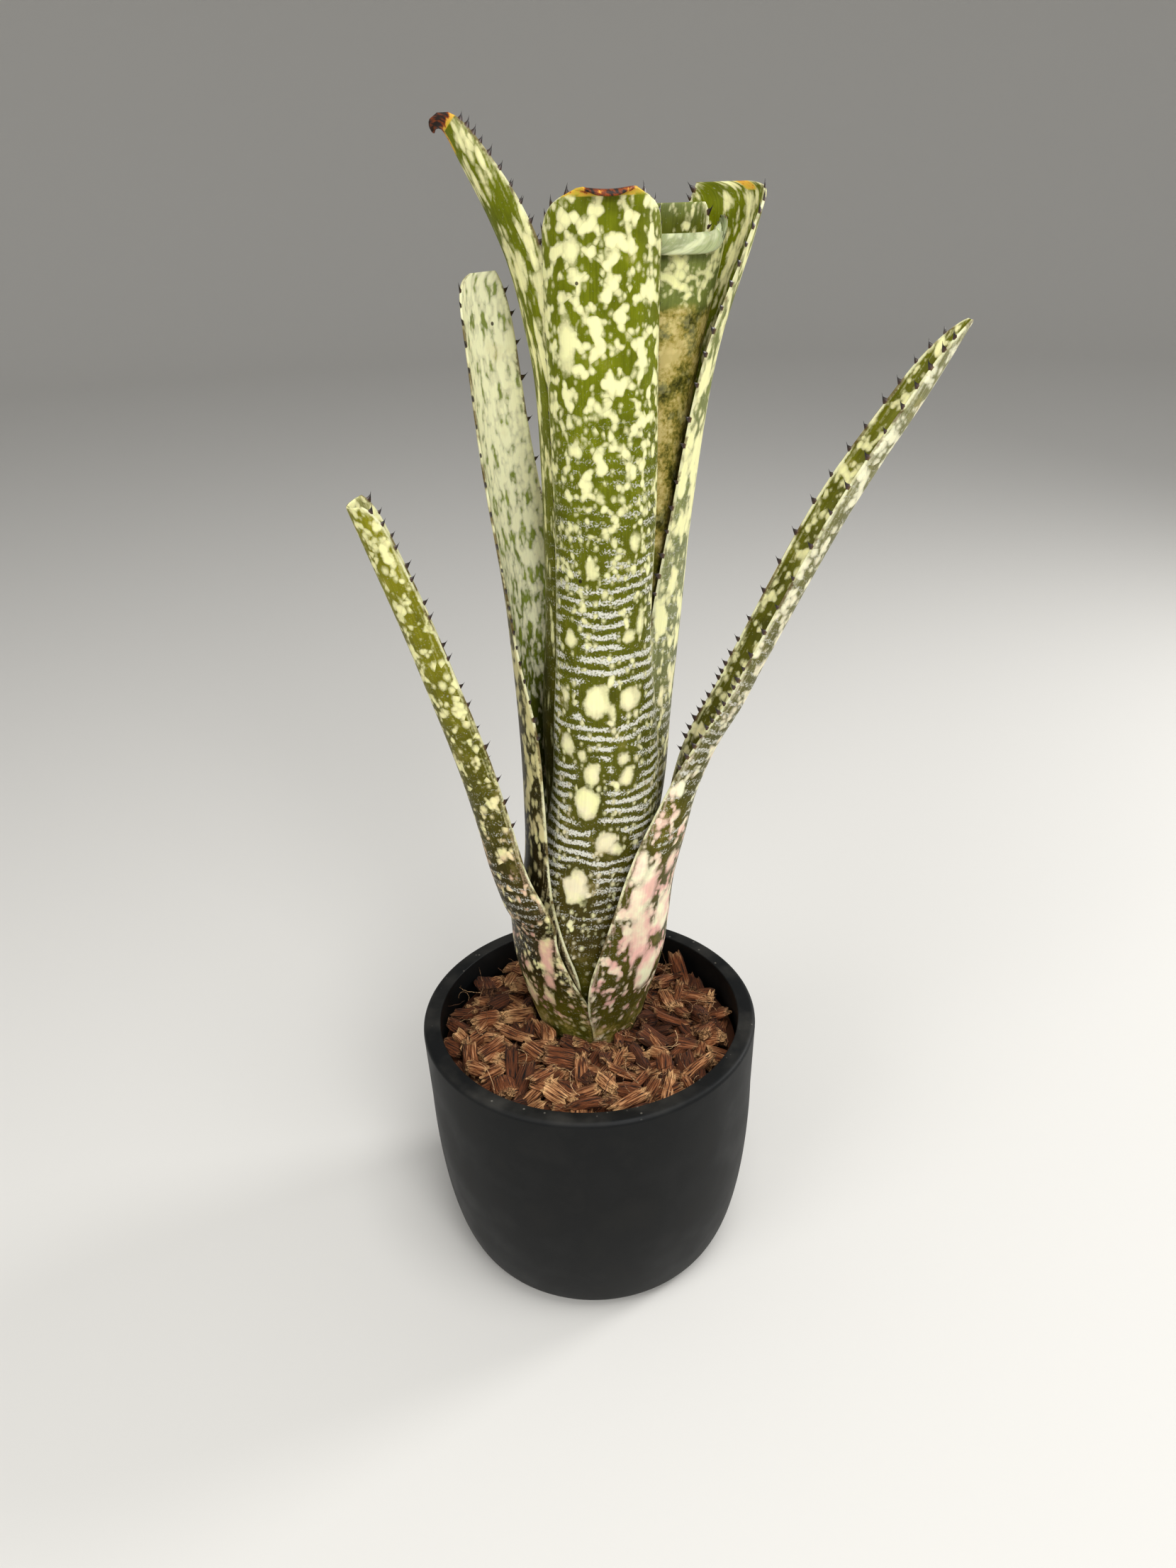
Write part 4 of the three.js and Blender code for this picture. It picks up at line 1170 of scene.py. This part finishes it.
# Bark mix


def husk(name, dark, light, loose=False):
    """Coconut husk, chopped and dried: corky brown pith with stiff fibres, frayed pale at the ends."""
    material, tree = blank(name)
    grain = add(tree, "ShaderNodeAttribute", out="Vector", attribute_name="grain")
    shade = add(tree, "ShaderNodeAttribute", out="Fac", attribute_name="shade")
    end = add(tree, "ShaderNodeAttribute", out="Fac", attribute_name="end")
    own = add(tree, "ShaderNodeCombineXYZ", {0: shade, 1: shade, 2: shade})
    fibre = add(tree, "ShaderNodeVectorMath", {0: grain, 1: (0.16, 2.3, 2.3)}, operation="MULTIPLY")
    fibre = add(tree, "ShaderNodeVectorMath", {0: own, 1: (40.0,) * 3, 2: fibre},
                operation="MULTIPLY_ADD")
    strands = add(tree, "ShaderNodeTexNoise", {"Vector": fibre, "Scale": 1.0, "Detail": 4.0})
    pith = add(tree, "ShaderNodeTexNoise", {"Vector": grain, "Scale": 0.7, "Detail": 4.0})
    torn = add(tree, "ShaderNodeMath", {0: end, 1: 0.22, 2: strands}, operation="MULTIPLY_ADD")
    pale = add(tree, "ShaderNodeMath", {0: shade, 1: 0.3, 2: torn}, operation="MULTIPLY_ADD")
    pale = add(tree, "ShaderNodeMapRange", {0: pale, 1: 0.7, 2: 1.06})
    body = ramp(tree, strands, ((0.34, tint("160a05")), (0.5, dark), (0.74, tint("a85a32"))))
    tan = ramp(tree, strands, ((0.3, tint("55301a")), (0.5, light), (0.72, tint("dea878"))))
    skin = add(tree, "ShaderNodeMix", {"Factor": pale, 6: body, 7: tan}, out=2, data_type="RGBA")
    each = add(tree, "ShaderNodeMapRange", {0: shade, 3: 0.3, 4: 1.2})
    skin = add(tree, "ShaderNodeVectorMath", {0: skin, "Scale": each}, operation="SCALE")
    height = add(tree, "ShaderNodeMath", {0: strands, 1: 2.0, 2: pith}, operation="MULTIPLY_ADD")
    bump = add(tree, "ShaderNodeBump", {"Strength": 0.9, "Distance": 0.0006, "Height": height})
    surface = add(tree, "ShaderNodeBsdfPrincipled", {
        "Base Color": skin, "Roughness": 0.6 if loose else 0.9, "Normal": bump, "IOR": 1.4})
    add(tree, "ShaderNodeOutputMaterial", {0: surface})
    return material


def chip_mesh(name, rng, length, width, height, bend):
    """A torn block of husk: fibrous strands side by side, each ending at its own length."""
    rings, sides = 6, 12
    turns = 2 * math.pi * np.arange(sides) / sides
    corner = 1 / np.maximum(np.abs(np.cos(turns)), np.abs(np.sin(turns))) ** 0.75
    strand = rng.uniform(0.78, 1.12, sides)
    ends = rng.uniform(-0.16, 0.1, (2, sides))
    points, grain, end = [], [], []
    for i in range(rings):
        t = i / (rings - 1) * 2 - 1
        swell = (1 - 0.12 * rng.random()) * (1 - 0.25 * abs(t) ** 3)
        for k in range(sides):
            x = t * length / 2
            if i in (0, rings - 1):
                x += np.sign(t) * length * ends[int(i > 0), k]
            y = corner[k] * strand[k] * swell * math.cos(turns[k]) * width / 2
            z = corner[k] * strand[k] * swell * math.sin(turns[k]) * height / 2
            z += bend * (t * t - 0.4)
            y += rng.uniform(-0.04, 0.04) * width
            points.append((x, y, z))
            grain.append((x, y, z))
            end.append(abs(t) ** 3)
    for i, t in ((0, -1), (rings - 1, 1)):
        points.append((t * length * (0.5 - 0.08), 0.0, bend * 0.6))
        grain.append(points[-1])
        end.append(1.0)
    faces = ring_faces(rings, sides, inward=True)
    for k in range(sides):
        j = (k + 1) % sides
        faces.append((k, j, rings * sides))
        faces.append(((rings - 1) * sides + j, (rings - 1) * sides + k, rings * sides + 1))
    mesh = mesh_of(name, np.array(points) * MM, faces)
    store(mesh, "grain", grain)
    store(mesh, "end", end, "FLOAT")
    soften(mesh, 55)
    return mesh


def fibre_mesh(name, rng, length, thickness):
    """A loose husk fibre: a thin strand that curls as it lies."""
    steps, sides = 14, 4
    heading, place = rng.uniform(0, 2 * math.pi), np.zeros(3)
    bend = rng.uniform(-0.35, 0.35)
    path = []
    for _ in range(steps):
        path.append(place.copy())
        heading += bend + rng.uniform(-0.25, 0.25)
        rise = rng.uniform(-0.25, 0.35)
        place += length / steps * np.array([math.cos(heading), math.sin(heading), rise])
    points = []
    for i, here in enumerate(path):
        ahead = path[min(i + 1, steps - 1)] - path[max(i - 1, 0)]
        side = np.cross(ahead, (0, 0, 1))
        side /= np.linalg.norm(side)
        up = np.cross(side, ahead)
        up /= np.linalg.norm(up)
        thick = thickness / 2 * (1 - 0.6 * i / steps)
        for k in range(sides):
            turn = 2 * math.pi * k / sides
            points.append(here + thick * (side * math.cos(turn) + up * math.sin(turn)))
    faces = ring_faces(steps, sides)
    faces.append(tuple(range(sides))[::-1])
    faces.append(tuple((steps - 1) * sides + k for k in range(sides)))
    mesh = mesh_of(name, np.array(points) * MM, faces)
    store(mesh, "grain", np.array(points))
    store(mesh, "end", np.full(len(points), 0.7), "FLOAT")
    soften(mesh, 80)
    return mesh


def scatter_tree():
    """Scatters the pieces of a collection over a surface, each turned, tipped and sized at random."""
    tree, source, sink = group("Husk scatter", (
        ("Pieces", "NodeSocketCollection", None), ("Spacing", "NodeSocketFloat", 0.005),
        ("Seed", "NodeSocketInt", 0), ("Tip", "NodeSocketFloat", 0.6),
        ("Smallest", "NodeSocketFloat", 0.7), ("Largest", "NodeSocketFloat", 1.2),
        ("Lift", "NodeSocketFloat", 0.0), ("Spread", "NodeSocketFloat", 0.002),
        ("Density", "NodeSocketFloat", 100000.0), ("Material", "NodeSocketMaterial", None)))
    given = source.outputs
    spots = add(tree, "GeometryNodeDistributePointsOnFaces",
                {"Mesh": given["Geometry"], "Distance Min": given["Spacing"],
                 "Density Max": given["Density"], "Seed": given["Seed"]},
                distribute_method="POISSON")
    rise = add(tree, "FunctionNodeRandomValue",
               {"Min": 0.0, "Max": given["Spread"], "Seed": given["Seed"]}, out=1, data_type="FLOAT")
    rise = add(tree, "ShaderNodeMath", {0: rise, 1: given["Lift"]}, operation="ADD")
    rise = add(tree, "ShaderNodeCombineXYZ", {2: rise})
    spots = add(tree, "GeometryNodeSetPosition", {"Geometry": spots, "Offset": rise})
    pieces = add(tree, "GeometryNodeCollectionInfo",
                 {"Collection": given["Pieces"], "Separate Children": True, "Reset Children": True})
    back = add(tree, "ShaderNodeMath", {0: given["Tip"], 1: -1.0}, operation="MULTIPLY")
    least = add(tree, "ShaderNodeCombineXYZ", {0: back, 1: back, 2: 0.0})
    most = add(tree, "ShaderNodeCombineXYZ", {0: given["Tip"], 1: given["Tip"], 2: 2 * math.pi})
    turn = add(tree, "FunctionNodeRandomValue",
               {"Min": least, "Max": most, "Seed": given["Seed"]}, data_type="FLOAT_VECTOR")
    turn = add(tree, "FunctionNodeEulerToRotation", {0: turn})
    size = add(tree, "FunctionNodeRandomValue",
               {"Min": given["Smallest"], "Max": given["Largest"], "Seed": given["Seed"]},
               out=1, data_type="FLOAT")
    placed = add(tree, "GeometryNodeInstanceOnPoints",
                 {"Points": spots, "Instance": pieces, "Pick Instance": True, "Rotation": turn,
                  "Scale": size})
    luck = add(tree, "FunctionNodeRandomValue", {"Min": 0.0, "Max": 1.0, "Seed": 5}, out=1,
               data_type="FLOAT")
    named = add(tree, "GeometryNodeStoreNamedAttribute",
                {"Geometry": placed, "Name": "shade", "Value": luck}, data_type="FLOAT",
                domain="INSTANCE")
    real = add(tree, "GeometryNodeRealizeInstances", {0: named})
    done = add(tree, "GeometryNodeSetMaterial", {0: real, "Material": given["Material"]})
    tree.links.new(done, sink.inputs[0])
    return tree


def tube_at(z):
    """Centre x and outermost radius of the sheath tube at a height."""
    table = np.array(TUBE)
    return np.interp(z, table[:, 0], table[:, 1]), np.interp(z, table[:, 0], table[:, 2])


def ground_mesh(level, hole, reach):
    """The surface that chips are scattered on: a disc round the tube, in rings."""
    rings, sides = 10, 64
    points = []
    for i in range(rings + 1):
        t = i / rings
        for k in range(sides):
            turn = 2 * math.pi * k / sides
            inner = np.array([hole * math.cos(turn), TUBE_Y + hole * math.sin(turn)])
            outer = np.array([reach * math.cos(turn), reach * math.sin(turn)])
            spot = inner * (1 - t) + outer * t
            points.append((spot[0], spot[1], level))
    faces = ring_faces(rings + 1, sides, inward=True)
    return mesh_of("ground", np.array(points) * MM, faces)


def keep_clear(mesh):
    """Presses chips back against the pot's wall and out of the leaf tube."""
    place = np.empty(len(mesh.vertices) * 3)
    mesh.vertices.foreach_get("co", place)
    place = place.reshape(-1, 3) / MM
    centre, radius = tube_at(place[:, 2])
    from_tube = place[:, :2] - np.stack([centre, np.full(len(place), TUBE_Y)], axis=1)
    distance = np.linalg.norm(from_tube, axis=1)
    wanted = np.maximum(distance, radius + TUBE_PLAY)
    place[:, :2] += from_tube * ((wanted / distance) - 1)[:, None]
    distance = np.linalg.norm(place[:, :2], axis=1)
    place[:, :2] *= (np.minimum(distance, THROAT) / distance)[:, None]
    place[:, 2] = np.minimum(place[:, 2], CHIP_CEILING)
    mesh.vertices.foreach_set("co", (place * MM).ravel())
    mesh.update()


def make_bark(settings):
    rng = np.random.default_rng(11)
    dark, light = tuple(settings.dark), tuple(settings.light)
    fill = husk("Coconut husk, packed", dark, light)
    chips_finish = husk("Coconut husk, chopped and dried", dark, light)
    loose = husk("Coir fibre, loose", tint("8a5a34"), tint("d8b888"), loose=True)
    pieces = bpy.data.collections.new("chips")
    for i, shape in enumerate(CHIPS):
        chip = bpy.data.objects.new(f"chip_{i}", chip_mesh(f"chip_{i}", rng, *shape))
        pieces.objects.link(chip)
    strands = bpy.data.collections.new("fibres")
    for i in range(6):
        mesh = fibre_mesh(f"fibre_{i}", rng, rng.uniform(9, 20), rng.uniform(0.22, 0.4))
        strands.objects.link(bpy.data.objects.new(f"fibre_{i}", mesh))
    tree = scatter_tree()

    floor, level = POT_FLOOR + HUSK_PLAY, BARK_LEVEL - 2
    inside = [(r, z) for r, z in pot_side(POT_RADIUS, POT_HEIGHT, POT_WALL + HUSK_PLAY, 16)
              if floor < z < 76]
    body = lathe("husk_body", [(0, floor), (inside[0][0] - FOOT_CORNER, floor), *inside,
                               (THROAT, 80), (THROAT, level), (0, level)], 96)
    body.materials.append(fill)
    piece = show("husk_body", body)
    socket = lathe("socket", SOCKET, 48)
    socket.transform(Matrix.Translation((0, TUBE_Y * MM, 0)))
    piece = cut(piece, show("socket", socket))
    meshes = [piece.data]
    layers = [((level, 20.0, reach), {
        "Pieces": pieces, "Spacing": settings.spacing * spacing, "Seed": seed, "Tip": tip,
        "Lift": lift * MM, "Spread": 0.0022, "Material": chips_finish})
        for level, seed, tip, lift, spacing, reach in CHIP_LAYERS]
    area = math.pi * ((FIBRE_REACH * MM) ** 2 - (FIBRE_HOLE * MM) ** 2)
    layers.append(((FIBRE_LEVEL, FIBRE_HOLE, FIBRE_REACH), {
        "Pieces": strands, "Spacing": 0.002, "Seed": 9, "Tip": 0.4, "Spread": 0.002,
        "Density": settings.fibres / area, "Material": loose}))
    for place, values in layers:
        ground = show("ground", ground_mesh(*place))
        mesh = run_tree(ground, tree, values)
        bpy.data.objects.remove(ground)
        keep_clear(mesh)
        meshes.append(mesh)
    whole = joined("husk_mix", meshes)
    bpy.data.objects.remove(piece)
    for collection in (pieces, strands):
        for part in list(collection.objects):
            bpy.data.objects.remove(part)
        bpy.data.collections.remove(collection)
    piece = show("husk_mix", whole)
    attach(piece, "root")
    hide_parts("bark_mix")


def stem_wood():
    """Stem of a bromeliad: dull, woody and fibrous, with brown old roots."""
    material, tree = blank("Bromeliad stem, woody")
    place = add(tree, "ShaderNodeTexCoord", out="Object")
    mm = add(tree, "ShaderNodeVectorMath", {0: place, 1: (900.0, 900.0, 140.0)}, operation="MULTIPLY")
    strands = add(tree, "ShaderNodeTexNoise", {"Vector": mm, "Scale": 1.0, "Detail": 4.0})
    skin = ramp(tree, strands, ((0.3, tint("33291a")), (0.5, tint("6b5a3a")), (0.7, tint("97865c"))))
    bump = add(tree, "ShaderNodeBump", {"Strength": 0.6, "Distance": 0.0005, "Height": strands})
    surface = add(tree, "ShaderNodeBsdfPrincipled", {
        "Base Color": skin, "Roughness": 0.85, "Normal": bump, "IOR": 1.45})
    add(tree, "ShaderNodeOutputMaterial", {0: surface})
    return material


# Stage


# Lamps: name, place, the point it is aimed at, size, share of the key light's power
LAMPS = (
    ("key", (0.4, -1.15, 1.0), (0.0, 0.0, 0.24), 0.6, 0.85),
    ("rim", (0.95, 0.35, 0.55), (0.03, 0.0, 0.22), 0.3, 0.5),
    ("fill", (-0.8, -0.8, 0.8), (0.0, 0.0, 0.24), 0.7, 0.45),
    ("top", (0.2, -0.35, 1.35), (0.0, 0.0, 0.25), 0.6, 0.75),
)
# The camera as fitted to the pot in the photo: focal length as a share of the picture's height,
# place, and the directions to its right, up and back
FOCAL_LENGTH = 1662 / 2212
CAMERA_PLACE = (0, -0.3455, 0.3633)
CAMERA_AXES = ((0.99930, -0.02232, -0.03018), (0.03701, 0.45271, 0.89089),
               (-0.00622, -0.89138, 0.45321))


def sweep(reach, bend, height):
    """A round floor that curves up into a wall, seen from inside."""
    sides, steps = 96, 16
    profile = [(0.3, 0.0), (reach, 0.0)]
    for i in range(1, steps + 1):
        turn = math.radians(90 * i / steps)
        profile.append((reach + bend * math.sin(turn), bend * (1 - math.cos(turn))))
    profile.append((reach + bend, height))
    points = [(0.0, 0.0, 0.0)]
    for radius, z in profile:
        for k in range(sides):
            turn = 2 * math.pi * k / sides
            points.append((radius * math.cos(turn), radius * math.sin(turn), z))
    faces = ring_faces(len(profile), sides, 1, inward=True)
    faces += [(0, 1 + k, 1 + (k + 1) % sides) for k in range(sides)]
    mesh = mesh_of("floor", points, faces)
    soften(mesh, 60)
    return mesh


def make_stage(settings):
    scene = bpy.context.scene
    floor = sweep(2.6, 1.4, 2.6)
    paint, tree = blank("Studio floor, matt paint")
    place = add(tree, "ShaderNodeTexCoord", out="Object")
    grain = add(tree, "ShaderNodeTexNoise", {"Vector": place, "Scale": 900.0, "Detail": 2.0})
    bump = add(tree, "ShaderNodeBump", {"Strength": 0.05, "Distance": 0.0002, "Height": grain})
    surface = add(tree, "ShaderNodeBsdfPrincipled", {
        "Base Color": tuple(settings.floor), "Roughness": 0.75, "Normal": bump})
    add(tree, "ShaderNodeOutputMaterial", {0: surface})
    floor.materials.append(paint)
    show("floor", floor)

    world = bpy.data.worlds.new("Soft studio")
    world.use_nodes = True
    tree = world.node_tree
    tree.nodes.clear()
    light = add(tree, "ShaderNodeBackground", {0: tint("dcdcdc"), 1: 0.5})
    add(tree, "ShaderNodeOutputWorld", {0: light})
    scene.world = world
    scene.view_settings.view_transform = "Standard"

    for name, place, aim, size, share in LAMPS:
        lamp = bpy.data.lights.new(name, "AREA")
        lamp.shape = "DISK"
        lamp.size = size
        lamp.energy = settings.key * share
        holder = bpy.data.objects.new(name, lamp)
        scene.collection.objects.link(holder)
        holder.location = place
        toward = Vector(aim) - Vector(place)
        holder.rotation_euler = toward.to_track_quat("-Z", "Y").to_euler()

    camera = bpy.data.cameras.new("camera")
    camera.sensor_width = 36.0
    camera.lens = camera.sensor_width * FOCAL_LENGTH
    camera.clip_start = 0.01
    holder = bpy.data.objects.new("camera", camera)
    scene.collection.objects.link(holder)
    turned = Matrix(CAMERA_AXES).transposed().to_4x4()
    holder.matrix_world = Matrix.Translation(CAMERA_PLACE) @ turned
    scene.camera = holder


# Operators and panel


class BILLBERGIA_OT_pot(bpy.types.Operator):
    """Make the moulded pot"""
    bl_idname = "billbergia.pot"
    bl_label = "Make pot"

    def execute(self, context):
        make_pot(context.scene.billbergia_pot)
        return {"FINISHED"}


class BILLBERGIA_OT_bark(bpy.types.Operator):
    """Make the bark mix of husk chips and fibres"""
    bl_idname = "billbergia.bark"
    bl_label = "Make bark mix"

    def execute(self, context):
        make_bark(context.scene.billbergia_bark)
        return {"FINISHED"}


class BILLBERGIA_OT_stem(bpy.types.Operator):
    """Finish the stem with its roots"""
    bl_idname = "billbergia.stem"
    bl_label = "Finish stem"

    def execute(self, context):
        mesh = frame["nodes"]["stem_with_roots"].data
        mesh.materials.clear()
        mesh.materials.append(stem_wood())
        return {"FINISHED"}


class BILLBERGIA_OT_leaves(bpy.types.Operator):
    """Make the leaves with their spines"""
    bl_idname = "billbergia.leaves"
    bl_label = "Make leaves"

    def execute(self, context):
        settings = context.scene.billbergia_leaf
        thorn = show("spine", spine_mesh())
        spines = (thorn, spine_tree(), spine_horn())
        for name, leaf in LEAVES.items():
            make_leaf(name, leaf, settings, spines)
        bpy.data.objects.remove(thorn)
        return {"FINISHED"}


class BILLBERGIA_OT_stage(bpy.types.Operator):
    """Set up floor, light and camera"""
    bl_idname = "billbergia.stage"
    bl_label = "Set the stage"

    def execute(self, context):
        make_stage(context.scene.billbergia_stage)
        return {"FINISHED"}


class BILLBERGIA_PT_panel(bpy.types.Panel):
    """Sizes, colours and steps of the plant"""
    bl_idname = "BILLBERGIA_PT_panel"
    bl_label = "Potted Billbergia"
    bl_space_type = "VIEW_3D"
    bl_region_type = "UI"
    bl_category = "Billbergia"

    def draw(self, context):
        for label, step, settings in STEPS:
            box = self.layout.box()
            box.label(text=label)
            if settings:
                group_of = getattr(context.scene, settings)
                for key in group_of.__annotations__:
                    box.prop(group_of, key)
            box.operator(step)


STEPS = (
    ("Stage", "billbergia.stage", "billbergia_stage"),
    ("Pot", "billbergia.pot", "billbergia_pot"),
    ("Bark mix", "billbergia.bark", "billbergia_bark"),
    ("Stem", "billbergia.stem", ""),
    ("Leaves", "billbergia.leaves", "billbergia_leaf"),
)
SETTINGS = {
    "billbergia_stage": StageSettings,
    "billbergia_pot": PotSettings,
    "billbergia_bark": BarkSettings,
    "billbergia_leaf": LeafSettings,
}
CLASSES = (
    *SETTINGS.values(),
    BILLBERGIA_OT_pot,
    BILLBERGIA_OT_bark,
    BILLBERGIA_OT_stem,
    BILLBERGIA_OT_leaves,
    BILLBERGIA_OT_stage,
    BILLBERGIA_PT_panel,
)


def register():
    for item in CLASSES:
        bpy.utils.register_class(item)
    for name, item in SETTINGS.items():
        setattr(bpy.types.Scene, name, bpy.props.PointerProperty(type=item))


def unregister():
    for name in SETTINGS:
        delattr(bpy.types.Scene, name)
    for item in reversed(CLASSES):
        bpy.utils.unregister_class(item)


def main():
    register()
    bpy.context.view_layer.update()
    for _, step, _ in STEPS:
        family, name = step.split(".")
        getattr(getattr(bpy.ops, family), name)()


if __name__ == "__main__":
    main()
